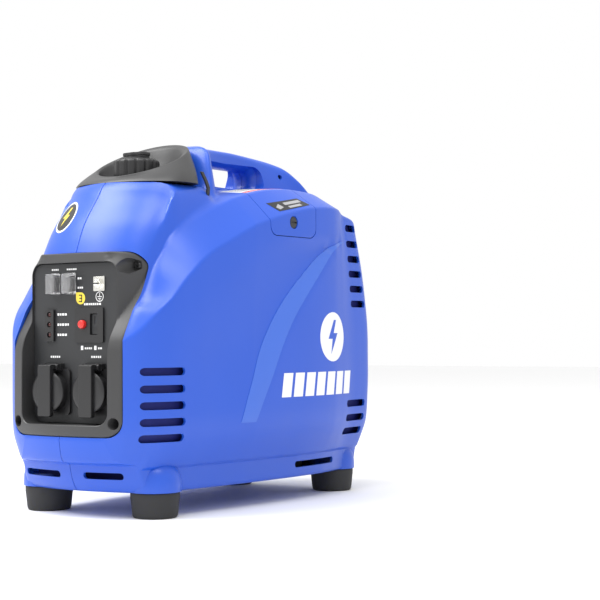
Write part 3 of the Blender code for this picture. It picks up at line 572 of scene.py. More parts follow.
def casing(name, side):
    """A half shell with its foot domes, mouths, slots and screw holes."""
    shell = half_shell(name, side)
    combine(shell, [boss(side, y) for y in (-FOOT_Y, FOOT_Y)], "UNION")
    x0, x1 = (18, 71) if side > 0 else (-84, -18)
    tools = [cutter(round_box(*grow(BEZEL, 0.4), 20, 10), "y", -300, -190),
             cutter(round_box(-100, 103, 100, 315, 22, 8), "y", 215, 300),
             cutter(circle(0, CAP_Y, 50), "z", DECK - 8, DECK + 8),
             finger_gap(),
             flank_cutter(round_box(45, 42, 143, 50, 3.8, 4), side, 95, 150),
             cutter(round_box(x0, 45.5, x1, 53.5, 3.8, 4), "y", -262, -205)]
    tools += side_slots(side)
    tools += [flank_cutter(circle(y, z, 3.4 if side > 0 else 5.2, 20), side, 160, 12)
              for hole_side, y, z in HANDLE_HOLES if hole_side == side]
    return combine(shell, tools)


def cut_cover(shell, name, box4, radius, reach):
    """Cut a cover out of a casing half, leaving a fine gap all round."""
    cover = duplicate(shell, name)
    combine(cover, [cutter(round_box(*grow(box4, -COVER_GAP), radius), "x", *reach)], "INTERSECT")
    combine(shell, [cutter(round_box(*grow(box4, COVER_GAP), radius), "x", *reach)])
    return cover


right = casing("plug_side_body", 1)
left = casing("recoil_side_body", -1)
hatch = cut_cover(right, "plug_hatch", HATCH, 12, (46, 160))
service = cut_cover(left, "service_cover", SERVICE, 9, (-160, -108))
combine(hatch, [cutter(circle(*HATCH_SCREW, 8.3), "x", 141, 160),
                cutter(circle(*HATCH_SCREW, 4.2, 24), "x", 120, 160)])
choke_slot = cutter(round_box(79, 348, 133, 370, 4), "x", -160, -100)
combine(service, [choke_slot])
drain_hole = cutter(circle(1, 53, 3, 16), "x", -160, -100)
combine(left, [cutter(round_box(*grow(STARTER, 0.4), 33, 10), "x", -160, -100),
               cutter(circle(*COVER_SCREW, 5.6, 24), "x", -160, -100),
               cutter(circle(*LOCK, 9.5, 32), "x", -160, -133), drain_hole])
place(right, HOUSING, "blue_plastic", "plug_side_casing")
place(left, HOUSING, "blue_plastic", "recoil_side_casing")
place(hatch, "spark_plug_cover", "blue_plastic", "spark_plug_cover")
place(service, "maintenance_cover", "blue_plastic", "maintenance_cover")


def shade_sheet(name, side, y0, y1, z0, z1):
    """A dark navy sheet seen through the slots, painted shade for the hollow inside, leaning in with the tuck
    at its foot.
    """
    heights = np.linspace(z0, z1, 9)
    rings = []
    for y in np.linspace(y0, y1, 9):
        rings.append([skin_point(side, half_width(y) - depth - 0.5 * max(100 - z, 0), y, z)
                      for depth, column in ((11, heights), (12.5, heights[::-1])) for z in column])
    return loft(name, rings, SHADE_NAVY)


def rear_wall(name, side):
    """Closes the tail of a casing half above the louvres."""
    rings = []
    low, high = band_low(243) - 1, band_high(243) + 0.5
    for z in np.linspace(302, high, 15):
        reach = mix(half_width(243) - 2, band_x(243), share(z, low, high - low))
        ring = [skin_point(side, x, 243.5, z) for x in np.linspace(SEAM, reach, 14)]
        ring += [skin_point(side, x, 241.0, z) for x in np.linspace(reach, SEAM, 14)]
        rings.append(ring)
    return loft(name, rings, BLUE)


# Dark navy sheets behind the slots: painted shade for the hollow inside the casing.
for side, tag in ((1, "right"), (-1, "left")):
    place(rear_wall(f"rear_wall_{tag}", side), HOUSING, "blue_plastic")
    place(shade_sheet(f"front_shade_sheet_{tag}", side, -258, -196, 82, 186), HOUSING, "blue_plastic")
    place(shade_sheet(f"rear_shade_sheet_{tag}", side, 160, 240, 74, 361), HOUSING if side > 0 else "maintenance_cover",
          "blue_plastic")
# A dark navy sheet behind the front skirt slots: painted shade.
skirt_shade_sheet = prism("front_skirt_shade_sheet", round_box(-86, 36, 86, 60, 2, 2), "y", -208, -206, SHADE_NAVY)
place(skirt_shade_sheet, HOUSING, "blue_plastic")


# ------------------------------------------------------------------ hood, filler cap and feet
def hood():
    """The black surround of the filler: a leaning collar with a rounded lip and a bowl inside it."""
    rings = []
    sides = 96
    for k in range(sides):
        angle = 2 * math.pi * k / sides
        c, s = math.cos(angle), math.sin(angle)
        wide = math.copysign(abs(c) ** (0.72 if s > 0 else 1.0), c)
        back = max(s, 0.0)
        base = Vector((84.0 * wide, -126 + 53 * s if s < 0 else -126 + 43.6 * back ** 0.55, DECK + 0.2))
        rim_y = -115 + 48 * s if s < 0 else -115 + 54 * back ** 0.8
        rim = Vector((60 * c, rim_y, 452.2 + HOOD_SLOPE * (rim_y - HOOD_BACK) + 2.4 * back ** 2))
        lip = Vector((55 * c, -116 + 43 * s + 5 * back, 0))
        lip.z = 450.0 + HOOD_SLOPE * (lip.y - HOOD_BACK) + 1.5 * back ** 2
        ring = [base]
        bulge = 3.0 * (1 - back ** 2)
        outward = Vector((c, s, 0.25)).normalized()
        for t in np.linspace(0.08, 1, 12):
            p = base.lerp(rim, t) + outward * bulge * 4 * t * (1 - t) * (1 - 0.25 * t)
            ring.append(p)
        ring.append(rim.lerp(lip, 0.25) + Vector((0, 0, 1.1)))
        ring.append(rim.lerp(lip, 0.75) + Vector((0, 0, 1.0)))
        ring.append(lip)
        floor = Vector((46 * c, CAP_Y + 38 * s, 404.0))
        for t in (0.15, 0.35, 0.55, 0.75, 0.9, 1.0):
            p = lip.lerp(floor, t)
            p.z = floor.z + (lip.z - floor.z) * (1 - t) ** 1.5
            ring.append(p)
        ring.append(Vector((31 * c, CAP_Y + 31 * s, 403.2)))
        ring.append(Vector((31 * c, CAP_Y + 31 * s, DECK + 0.2)))
        rings.append([tuple(p) for p in ring])
    made = loft("hood", rings, HOOD, loop=True, sharp=50)
    wedge = prism("wedge", [(-84.6, DECK - 5), (-57.6, 449.6), (-48, 480), (-20, 480), (-20, DECK - 5)],
                  "x", -120, 120, HOOD)
    return combine(made, [wedge], sharp=50)


place(hood(), HOUSING, "black_plastic", "hood_collar")


def fuel_cap():
    """A fluted cap and the waisted knob on top of it."""
    def fluted(radius, dip):
        return [((radius - dip * max(math.cos(14 * a), 0) ** 2) * math.cos(a),
                 CAP_Y + (radius - dip * max(math.cos(14 * a), 0) ** 2) * math.sin(a))
                for a in (2 * math.pi * k / 168 for k in range(168))]
    rings = [[(x, y, z) for x, y in fluted(radius, dip)]
             for radius, dip, z in ((23.5, 0, 407.2), (27.6, 1.2, 407.4), (28.4, 2.0, 409), (28.4, 2.0, 424),
                                    (27.8, 1.6, 426.6), (26.2, 0.8, 428.2), (24, 0, 429.0))]
    skirt = loft("cap_skirt", rings, BLACK)
    crown = turned("cap_crown", [(0, 420), (23.8, 420), (23.8, 429.4), (22, 430.2), (16.5, 430.2),
                                 (0, 430.2)], "z", (0, CAP_Y), BLACK, 72)
    cap = join("filler_cap", [skirt, crown])
    lobes = []
    for k in range(72):
        a = 2 * math.pi * k / 72
        r = 15.5 + 3.2 * math.cos(2 * a) - 1.0 * math.cos(6 * a)
        lobes.append((r * math.cos(a), CAP_Y + r * 0.82 * math.sin(a)))
    rings = [[(x * w, CAP_Y + (y - CAP_Y) * w, z) for x, y in lobes]
             for w, z in ((0.90, 430.5), (0.94, 431.5), (0.94, 433.6), (1.0, 434.4), (1.0, 436.9),
                          (0.97, 437.7), (0.86, KNOB_TOP))]
    knob = loft("vent_knob", rings, BLACK)
    return cap, knob


cap, knob = fuel_cap()
place(cap, "fuel_cap", "black_plastic", "fuel_cap")
place(knob, "vent_lever", "black_plastic", "fuel_cap_vent_lever")

FOOT_PROFILE = [(0, 0.8), (17, 0.8), (18, 0), (23.5, 0), (25.4, 0.8), (26.4, 2.6), (27.2, 8), (28.4, 20),
                (28.9, 22.5), (29.0, 28.6), (28.4, 29.5), (0, 29.5)]
for end, sy in (("front", -1), ("rear", 1)):
    for tag, sx in (("right", 1), ("left", -1)):
        foot = turned(f"foot_{end}_{tag}", FOOT_PROFILE, "z", (sx * FOOT_X, sy * FOOT_Y), RUBBER, 56)
        place(foot, HOUSING, "black_rubber", f"rubber_foot_{end}_{tag}")


# ------------------------------------------------------------------ control panel
bezel_low = curve((94, -261), (100, -262.8), (110, -263.6), (150, -263.6), (192, -263), (204, -260.5),
                  (231, -245), (254, -230), (286, -213), (312, -200))


def bezel_face(x, z):
    """Front of the bezel: a proud lower frame that slants back over a recessed upper one."""
    proud = bend(x, bezel_low(z))
    right, up = max(abs(x) - 52, 0), max(z - 283, 0)
    out = max(math.hypot(right, up) - 14, 0)
    turn = (math.atan2(up, right) / (math.pi / 2)) ** 1.5 if out else 0
    return min(proud, -238.4 + out * mix(2.22, 0.25, turn))


def bezel():
    outer = cut_runs(round_box(*BEZEL, 21.6, 10), 64, 26)
    inner = cut_runs(round_box(-66.4, 108.6, 66.4, 297.4, 14, 10), 64, 26)
    rings = []
    for (xo, zo), (xi, zi) in zip(outer, inner):
        ring = [(xo, -188, zo), (xo, bezel_face(xo, zo) + 1.6, zo)]
        for t in (0.04, 0.1, 0.2, 0.3, 0.4, 0.5, 0.6, 0.7, 0.8, 0.88, 0.95):
            x, z = mix(xo, xi, t), mix(zo, zi, t)
            ring.append((x, bezel_face(x, z) + (0.5 if t == 0.04 else 0), z))
        ring += [(xi, bezel_face(xi, zi) + 0.8, zi), (xi, -230, zi), (xi, -212, zi)]
        rings.append(ring)
    frame_piece = loft("bezel", rings, HOOD, loop=True, sharp=28)
    tools = []
    for x in (-BEZEL_SCREW_X, BEZEL_SCREW_X):
        for z, size, floor, mouth, rim in zip(BEZEL_SCREWS_Z, (6.6, 5.4), (-207, -216), (-212, -246),
                                              (-222, -262)):
            tools.append(turned("pocket", [(0, floor), (size, floor), (size, mouth), (size + 3.5, rim),
                                           (size + 3.5, -300), (0, -300)], "y", (x, z), HOOD, 40))
    return combine(frame_piece, tools, sharp=28)


place(bezel(), HOUSING, "black_plastic", "panel_bezel")
bezel_screws = [(x, y, z) for z, y in zip(BEZEL_SCREWS_Z, (-205, -214))
                for x in (-BEZEL_SCREW_X, BEZEL_SCREW_X)]
for index, (x, y, z) in enumerate(bezel_screws):
    head = turned(f"bezel_screw_{index}", [(0, y), (4.2, y), (4.2, y - 3.4), (3.2, y - 4.4), (0, y - 4.6)],
                  "y", (x, z), BLACK, 24)
    combine(head, [cutter([(x - a, z - b), (x + a, z - b), (x + a, z + b), (x - a, z + b)], "y",
                          y - 6, y - 3.2) for a, b in ((2.2, 0.5), (0.5, 2.2))])
    place(head, HOUSING, "steel")


def panel_plate():
    """The flat plate, open where the switches, lamps and outlets pass through."""
    plate = prism("panel_plate", round_box(-66.0, 109.0, 66.0, 297.0, 13.4, 8), "y", PANEL, PANEL + 3,
                  PANEL_BLACK)
    holes = [circle(x, SOCKET_Z, 22) for x in (-SOCKET_X, SOCKET_X)]
    holes += [round_box(x - 5, SWITCH_Z - 10, x + 5, SWITCH_Z + 10, 1, 1) for x in SWITCHES.values()]
    holes += [round_box(4, 207, 42, 241, 1, 1), round_box(-45, 208, -33, 240, 1, 1)]
    combine(plate, [cutter(outline, "y", PANEL - 6, PANEL + 9) for outline in holes])
    return soften(plate, 0.8)


place(panel_plate(), HOUSING, "panel_plastic", "control_panel")


def tilted(outline, y0, z0, angle):
    """An outline turned about a point."""
    c, s = math.cos(angle), math.sin(angle)
    return [(y0 + (y - y0) * c - (z - z0) * s, z0 + (y - y0) * s + (z - z0) * c) for y, z in outline]


for name, x in SWITCHES.items():
    face = [(-226, 264.5), (-237.6, 264.5), (-238.2, 265.2), (-237.4, 269), (-236.9, 273), (-237.4, 277),
            (-238.2, 280.8), (-237.6, 281.5), (-226, 281.5)]
    rocker = prism(f"{name}_rocker", tilted(face, -231.0, SWITCH_Z, math.radians(8)), "x", x - 4.2, x + 4.2,
                   BLACK)
    place(soften(rocker, 0.4, 2), name, "black_plastic", name)
    outer = round_box(x - 6.8, SWITCH_Z - 12, x + 6.8, SWITCH_Z + 12, 1.6, 4)
    boot = loft(f"{name}_splash_boot",
                [[(mix(x, a, w), y, mix(SWITCH_Z, b, w)) for a, b in outer]
                 for w, y in ((1.06, -234.3), (1.06, -235.2), (1.0, -235.6), (0.97, -244.4), (0.93, -245.2),
                              (0.86, -244.2), (0.88, -236.2), (0.88, -234.3))], CLEAR, loop=True)
    lens = loft(f"{name}_splash_window",
                [[(mix(x, a, 0.92), y, mix(SWITCH_Z, b, 0.92)) for a, b in outer]
                 for y in (-245.0, -243.9)], CLEAR)
    place(join(f"{name}_clear_boot", [boot, lens]), HOUSING, "clear_boot", f"{name}_boot")


def indicators():
    """Three lamp lenses in their dimples."""
    block = prism("lamp_block", round_box(LAMP_X - 7, 205, LAMP_X + 7, 243, 1.2, 3), "y", -237, -234.3, BLACK)
    combine(block, [cutter(circle(LAMP_X, z, 3.4, 24), "y", -240, -235.0) for z in LAMPS_Z])
    place(soften(block, 0.4, 2), HOUSING, "black_plastic", "indicator_block")
    for index, z in enumerate(LAMPS_Z):
        lens = turned(f"lamp_{index}", [(0, -236.6), (1.4, -236.3), (2.3, -235.6), (2.6, -235.1),
                                        (0, -235.1)], "y", (LAMP_X, z), LAMP, 24)
        place(lens, HOUSING, "red_plastic")


def dc_outlet():
    """The plate with its two-bar socket, and the red breaker button."""
    plate = prism("dc_plate", round_box(1, 203.5, 45, 244.5, 2, 4), "y", -236.5, -234.3, BLACK)
    well = prism("dc_well", round_box(5, 208, 41, 240, 1, 1), "y", -235, -216, BLACK)
    combine(plate, [well], "UNION")
    combine(plate, [cutter(circle(*BREAKER, 5.6, 32), "y", -240, -210),
                    cutter(round_box(25, 212.5, 36.5, 237.5, 1.2, 2), "y", -240, -222)])
    place(soften(plate, 0.4, 2), HOUSING, "black_plastic", "dc_socket_plate")
    bars = [prism("bar", round_box(28.2, 225.5, 30.4, 234.5, 0.5, 2), "y", -234.5, -221, DARK_INK_AND_SHADE),
            prism("bar", round_box(27.6, 218.6, 35.4, 221.6, 0.5, 2), "y", -234.5, -221, DARK_INK_AND_SHADE),
            prism("core", round_box(25.6, 213.2, 35.9, 236.8, 0.8, 2), "y", -233.9, -221.5, PANEL_BLACK)]
    place(join("dc_contacts", bars), HOUSING, "black_plastic")
    button = turned("breaker_button", [(0, -241.2), (3.4, -241.0), (4.6, -240.2), (4.9, -239.2), (4.9, -228),
                                       (0, -228)], "y", BREAKER, RED, 40)
    place(button, "dc_breaker", "red_plastic", "dc_breaker_button")


def earth_terminal():
    tab = prism("earth_plate", round_box(29.5, 263.5, 46.5, 280.5, 1.2, 3), "y", -235.6, -234.2, BRIGHT)
    nut = turned("earth_nut", [(0, -239.8), (5.4, -239.8), (6.2, -238.8), (6.2, -235.2), (0, -235.2)], "y",
                 EARTH, BRIGHT, 6)
    screw = turned("earth_screw", [(0, -242.4), (2.4, -242.4), (3, -241.8), (3, -239), (0, -239)], "y",
                   EARTH, BRIGHT, 24)
    wing = prism("earth_wing", round_box(33.4, 271.2, 42.6, 272.8, 0.7, 2), "y", -242.8, -241.0, DARK_INK_AND_SHADE)
    terminal = join("earth_terminal", [soften(tab, 0.2, 1), soften(nut, 0.4, 2), screw, soften(wing, 0.5, 2)])
    place(terminal, HOUSING, "steel", "ground_terminal")


indicators()
dc_outlet()
earth_terminal()


def ac_outlet(tag, x):
    """A round outlet with its hinged flap and the bracket that carries it."""
    body = prism(f"outlet_{tag}", round_box(x - 26, SOCKET_Z - 27, x + 26, SOCKET_Z + 27, 5, 5), "y",
                 -237.3, -234.3, FLAP_BLACK)
    collar = turned("collar", [(0, -236), (23.5, -236), (23.5, -244.8), (22.7, -245.9), (0, -245.9)], "y",
                    (x, SOCKET_Z), FLAP_BLACK, 56)
    combine(body, [collar, cutter(circle(x, SOCKET_Z, 21.4), "y", -236, -206)], "UNION")
    combine(body, [cutter(circle(x, SOCKET_Z, 19.5), "y", -250, -226)])
    pins = [(x + a, SOCKET_Z + b) for a, b in ((-7, 4), (7, 4), (0, -8))]
    combine(body, [cutter(round_box(a - 1.2, b - 4, a + 1.2, b + 4, 0.6, 2), "y", -228, -220)
                   for a, b in pins])
    place(body, HOUSING, "black_plastic", f"ac_socket_{tag}")

    lid = turned("lid", [(0, -249.6), (20, -249.6), (22.2, -249.0), (23.8, -248.2), (24.5, -247.4),
                         (24.5, -246.4), (0, -246.4)], "y", (x, SOCKET_Z), FLAP_BLACK, 64)
    rib = prism("rib", round_box(x - 10, SOCKET_Z - 29, x + 10, SOCKET_Z + 31.5, 2.2, 4), "y", -254, -247,
                FLAP_BLACK)
    barrel = prism("barrel", circle(HINGE_Y, HINGE_Z, 4.0, 24), "x", x - 10, x + 10, FLAP_BLACK)
    arm = prism("arm", round_box(-253, HINGE_Z - 2.5, HINGE_Y, HINGE_Z + 3, 1.5, 3), "x", x - 9.8, x + 9.8,
                FLAP_BLACK)
    flap = join(f"outlet_flap_{tag}", [lid, soften(rib, 1.2, 3), barrel, soften(arm, 0.5, 2)])
    place(flap, f"ac_flap_{tag}", "black_plastic", f"ac_flap_{tag}")

    block = prism(f"flap_bracket_{tag}", round_box(x - 15, HINGE_Z - 4.5, x + 15, HINGE_Z + 4.5, 1.5, 3), "y",
                  -240.5, -234.3, FLAP_BLACK)
    swing = [(-243, HINGE_Z - 5), (-238.4, HINGE_Z - 5), (-238.4, HINGE_Z + 11), (-243, HINGE_Z + 11)]
    combine(block, [cutter(outline, "x", x - 10.6, x + 10.6)
                    for outline in (circle(HINGE_Y, HINGE_Z, 4.6, 24), swing)])
    ears = [prism("ear", round_box(-245.6, HINGE_Z - 3.5, -238, HINGE_Z + 3.5, 2, 3), "x", e - 1.6, e + 1.6,
                  FLAP_BLACK) for e in (x - 12.4, x + 12.4)]
    place(join(f"flap_mount_{tag}", [block] + ears), HOUSING, "black_plastic")


ac_outlet("left", -SOCKET_X)
ac_outlet("right", SOCKET_X)


# ------------------------------------------------------------------ fittings on the flanks
def slotted_head(name, at, x_face, radius, look, body, *nodes):
    """A round screw head with a coin slot, facing out of a flank."""
    side = math.copysign(1, x_face)
    y, z = at
    head = turned(name, [(0, x_face - side * 4.4), (radius - 0.6, x_face - side * 4.4),
                         (radius, x_face - side * 2.2), (radius, x_face - side * 0.7),
                         (radius - 0.8, x_face), (0, x_face + side * 0.1)], "x", at, look, 40)
    a, b = radius * 0.8, 0.9
    combine(head, [cutter([(y - a, z - b), (y + a, z - b), (y + a, z + b), (y - a, z + b)], "x",
                          *sorted((x_face - side * 1.5, x_face + side * 3)))])
    place(head, body, "steel", *nodes)


slotted_head("hatch_screw", HATCH_SCREW, 142.6, 7.4, BLACK, "spark_plug_cover_screw",
             "spark_plug_cover_screw")
slotted_head("casing_screw", COVER_SCREW, -121.6, 4.6, STEEL, "maintenance_cover_screw",
             "maintenance_cover_screw")
# Its head is darkened navy: painted shade in the lock hole.
slotted_head("lock_screw", LOCK, -136.6, 8.6, SHADE_NAVY, HOUSING)

def choke():
    """The ribbed slider, and a dark sheet behind its slot as painted shade."""
    lever = prism("choke_knob", round_box(82, 350.5, 96, 367.5, 2.5, 4), "x", -142.5, -136, BLACK)
    stem = prism("choke_stem", round_box(86, 356, 92, 362, 1, 2), "x", -137, -112, BLACK)
    ribs = [prism("rib", round_box(y - 0.7, 352.5, y + 0.7, 365.5, 0.5, 2), "x", -143.4, -142, BLACK)
            for y in (85.5, 89, 92.5)]
    slider = join("choke_slider", [soften(lever, 0.8), stem] + ribs)
    place(slider, "choke_lever", "black_plastic", "choke_lever")
    # A dark sheet behind the choke slot: painted shade.
    shade = prism("choke_shade_backing", round_box(76, 345, 136, 373, 2, 2), "x", -124, -122.5, DARK_INK_AND_SHADE)
    place(shade, HOUSING, "black_plastic")


choke()


def recoil():
    """The blue stadium recess and its floor, darkened navy as painted shade, the grip and the rope boss."""
    rings = []
    for x, grow_by in ((-134.0, 0.0), (-113.0, -0.8), (-111.2, -2.4), (-111.2, -26), (-108.5, -26),
                       (-108.5, 0.6), (-134.0, 0.6)):
        rings.append([(x, y, z) for y, z in round_box(*grow(STARTER, grow_by), 32.5 + grow_by, 16)])
    # Well and floor in darkened navy: painted shade of the recess.
    well = loft("starter_well", rings, SHADE_NAVY, loop=True)
    floor = prism("well_floor", round_box(-101, 114, -83, 202, 8.5, 10), "x", -110.9, -109.5, SHADE_NAVY)
    collar = turned("rope_guide", [(4, -116), (16, -116), (19.4, -114.5), (19.4, -110.5), (4, -110.5)], "x",
                    (ROPE_Y, ROPE_Z), BLACK, 48)
    place(join("starter_recess", [well, floor, collar]), HOUSING, "black_plastic", "recoil_recess")

    rings = []
    for x, inset in ((-124.2, 2.2), (-125.4, 0.8), (-129, 0), (-140.5, 0), (-142.8, 1.2), (GRIP_FACE, 3.4)):
        outline = round_box(*grow((ROPE_Y - 11, 112, ROPE_Y + 11, 214), -inset), 10.5 - inset, 10)
        rings.append([(x, y, z) for y, z in outline])
    bar = loft("bar", rings, BLACK)
    hub = turned("hub", [(0, -118.2), (14, -118.2), (18.4, -121), (18.4, -129), (16.5, -132.5), (12, -134.6),
                         (0, -135.4)], "x", (ROPE_Y, ROPE_Z), BLACK, 56)
    ring = turned("hub_ring", [(12.8, -141), (17.8, -141), (18.3, -142.5), (17.6, -144.2), (13.4, -144.2),
                               (12.6, -142.8)], "x", (ROPE_Y, ROPE_Z + 6), BLACK, 56)
    place(join("starter_grip", [bar, hub, ring]), "recoil_grip", "black_plastic", "recoil_grip")


recoil()


# ------------------------------------------------------------------ rear grille and exhaust
grille_line = curve((90, 250.5), (110, 256), (182, 261.5), (242, 263), (282, 261.5), (322, 254), (328, 251))


def grille_y(x, z, sink=0.0):
    return bend(x, grille_line(z) - sink - 8 * ease((abs(x) - 80) / 24))


def grille_rim():
    """The frame round the louvres, lofted across its width from the casing to the opening."""
    rings = []
    outer = cut_runs(round_box(-104, 98, 104, 320, 23, 8), 20, 20)
    inner = cut_runs(round_box(-93, 109, 93, 309, 14, 8), 20, 20)
    for (xo, zo), (xi, zi) in zip(outer, inner):
        def across(t, up, sink):
            x = mix(xo, xi, t)
            return x, grille_y(x, mix(zo, zi, up), sink), mix(zo, zi, t)
        back = bend(xo, 247.0) - 26 * ease((abs(xo) - 40) / 60)
        rings.append([(xo, back, zo), across(0, 0, 1.5), across(0.12, 0, 0.3), across(0.6, 0.6, 0),
                      across(0.95, 1, 0.2), across(1, 1, 1.2), across(1, 1, 6),
                      (mix(xo, xi, 0.7), back, mix(zo, zi, 0.7))])
    return loft("rim", rings, HOOD, loop=True)


def grille():
    """Louvres and posts in the rim, the frame of the exhaust opening, and a dark sheet behind them as painted
    shade.
    """
    pieces = [grille_rim()]
    pitch = 7.4
    count = int((309 - 109) / pitch)
    for index in range(count):
        z = 109 + pitch * (index + 0.5)
        reach = 94 if 118 < z < 300 else 90
        spans = [(-reach, reach)] if not 240 < z < 290 else [(-reach, -30), (30, reach)]
        for x0, x1 in spans:
            rings = []
            for x in np.linspace(x0, x1, max(int((x1 - x0) / 8), 3)):
                rings.append([(x, grille_y(x, z, 1.0), z - 1.4), (x, grille_y(x, z, 0.4), z),
                              (x, grille_y(x, z, 1.0), z + 1.4), (x, grille_y(x, z, 7.5), z + 3.4),
                              (x, grille_y(x, z, 8.0), z + 1.6)])
            pieces.append(loft("slat", rings, HOOD))
    for x in (-62, -31, 31, 62):
        rings = [[(x + a, grille_y(x, z, sink), z)
                  for a, sink in ((-1.6, 1.6), (1.6, 1.6), (1.6, 8), (-1.6, 8))]
                 for z in np.linspace(108, 310, 30)]
        pieces.append(loft("post", rings, HOOD))
    frame_out = [[(x, y, z) for x, z in round_box(-31.5 + i, 240.5 + i, 31.5 - i, 289.5 - i, 8 - i, 6)]
                 for i, y in ((0, 250), (0, 261.2), (0.8, 262.4), (2.6, 262.6), (3.2, 261.6), (3.2, 250))]
    pieces.append(loft("outlet_frame", frame_out, HOOD, loop=True))
    place(join("rear_louvres", pieces), HOUSING, "black_plastic", "rear_grille")
    # A dark sheet behind the louvres: painted shade for the hollow behind them.
    shade_backing = [[(x, bend(x, 246.6), z) for z in (104, 314)] + [(x, bend(x, 245.6), z) for z in (314, 104)]
               for x in np.linspace(-98, 98, 25)]
    place(loft("grille_shade_backing", shade_backing, INNER_AND_SHADE), HOUSING, "black_plastic")


def exhaust():
    """The outlet duct and its wire spark arrestor."""
    duct = loft("exhaust_duct",
                [[(x, y, z) for x, z in round_box(-28 + i, 244 + i, 28 - i, 286 - i, 6 - i * 0.6, 6)]
                 for i, y in ((0, 248), (0, 263.6), (0.8, 264.8), (2.4, 264.8), (3.4, 263.6), (3.8, 248))],
                HEAT, loop=True)
    wires = [prism("wire", round_box(-25, z - 0.5, 25, z + 0.5, 0.4, 1), "y", 249.6, 250.6, STEEL)
             for z in np.arange(250, 281, 3.0)]
    wires += [prism("wire", round_box(x - 0.5, 247.6, x + 0.5, 282.4, 0.4, 1), "y", 249.8, 250.8, STEEL)
              for x in np.arange(-22.5, 23, 3.0)]
    # A black plate behind the wires: painted shade inside the duct.
    back = prism("arrestor_shade", round_box(-26, 246, 26, 284, 4, 3), "y", 248, 249.2, DARK_INK_AND_SHADE)
    place(join("exhaust_mouth", [duct, back] + wires), HOUSING, "heat_black", "exhaust_outlet")


grille()
exhaust()


# ------------------------------------------------------------------ printed marks and labels
def surface_tree(*items):
    """A ray target made of finished pieces."""
    points, polygons = [], []
    for item in items:
        base = len(points)
        points += [v.co.copy() for v in item.data.vertices]
        polygons += [[base + i for i in p.vertices] for p in item.data.polygons]
    return BVHTree.FromPolygons(points, polygons)


def flat_shape(loops, step):
    """Triangles of an outline with holes, cut along a grid so that they can follow a curved surface."""
    corners = [Vector((a, b, 0)) for loop in loops for a, b in loop]
    work = bmesh.new()
    verts = [work.verts.new(c) for c in corners]
    for triangle in tessellate_polygon([[Vector((a, b, 0)) for a, b in loop] for loop in loops]):
        if len(set(triangle)) == 3:
            try:
                work.faces.new([verts[i] for i in triangle])
            except ValueError:
                pass
    for axis in (0, 1):
        values = [c[axis] for c in corners]
        place_at = math.floor(min(values) / step) * step + step
        while place_at < max(values):
            normal = (1, 0, 0) if axis == 0 else (0, 1, 0)
            origin = (place_at, 0, 0) if axis == 0 else (0, place_at, 0)
            bmesh.ops.bisect_plane(work, geom=work.verts[:] + work.edges[:] + work.faces[:],
                                   plane_co=origin, plane_no=normal)
            place_at += step
    bmesh.ops.remove_doubles(work, verts=work.verts, dist=1e-5)
    return work


def decal(name, shapes, look, surface, thick=0.25, step=9.0):
    """Raised print: each shape is a list of loops, laid on a (point finder, body, slot) surface."""
    to_space, body, slot_name = surface
    whole = bmesh.new()
    for loops in shapes:
        work = flat_shape(loops, step)
        for v in work.verts:
            point, normal = to_space(v.co.x, v.co.y)
            v.co = point + normal * thick * MM
            v.normal = normal
        extra = bmesh.ops.extrude_face_region(work, geom=work.faces[:])
        low = [g for g in extra["geom"] if isinstance(g, bmesh.types.BMVert)]
        _, normal = to_space(*loops[0][0])
        for v in low:
            v.co -= normal * 2 * thick * MM
        bmesh.ops.recalc_face_normals(work, faces=work.faces)
        scratch = bpy.data.meshes.new("scratch")
        work.to_mesh(scratch)
        work.free()
        whole.from_mesh(scratch)
        bpy.data.meshes.remove(scratch)
    mesh = bpy.data.meshes.new(name)
    whole.to_mesh(mesh)
    whole.free()
    mesh.shade_smooth()
    mesh.set_sharp_from_angle(angle=math.radians(40))
    mesh.materials.append(look)
    made = bpy.data.objects.new(name, mesh)
    bpy.context.scene.collection.objects.link(made)
    return place(made, body, slot_name)


def onto(tree, direction, start):
    """Lays (a, b) on a surface seen along a direction: flanks take (y, z), nose (x, z), top (x, y)."""
    direction = Vector(direction)

    def read(a, b):
        if direction.x:
            origin = Vector((start, a, b))
        elif direction.y:
            origin = Vector((a, start, b))
        else:
            origin = Vector((a, b, start))
        for nudge in ((0, 0, 0), (0.02, 0.03, 0.01), (-0.03, 0.02, -0.04)):
            hit, normal, _, _ = tree.ray_cast((origin + Vector(nudge)) * MM, direction)
            if hit is not None:
                break
        else:
            raise RuntimeError(f"the mark at {a:.0f}, {b:.0f} misses the casing")
        if normal.dot(direction) > 0:
            normal = -normal
        return hit, normal
    return read


DASH_GAP = 0.28 * 1.6            # gap between the bars of a text line, in heights of the line


def bar_shape(a0, b0, a1, b1, radius=0.0):
    if radius:
        return [round_box(a0, b0, a1, b1, radius, 4)]
    return [[(a0, b0), (a1, b0), (a1, b1), (a0, b1)]]


def ring_shape(a, b, radius, width):
    return [circle(a, b, radius, 32), circle(a, b, radius - width, 32)[::-1]]


def bolt_shape(a, b, size):
    """A plain lightning bolt."""
    outline = [(0.10, 1.0), (-0.55, -0.12), (-0.06, -0.12), (-0.22, -1.0), (0.55, 0.22), (0.06, 0.22),
               (0.36, 1.0)]
    return [[(a + u * size, b + v * size) for u, v in outline]]


def dashes(a0, a1, b, height, pattern):
    """One blank text line: short bars whose lengths repeat a pattern."""
    made = []
    at = a0
    while at < a1 - 0.5 * height:
        length = min(pattern[len(made) % len(pattern)] * height, a1 - at)
        made.append(bar_shape(at, b - height / 2, at + length, b + height / 2))
        at += length + DASH_GAP * height
    return made


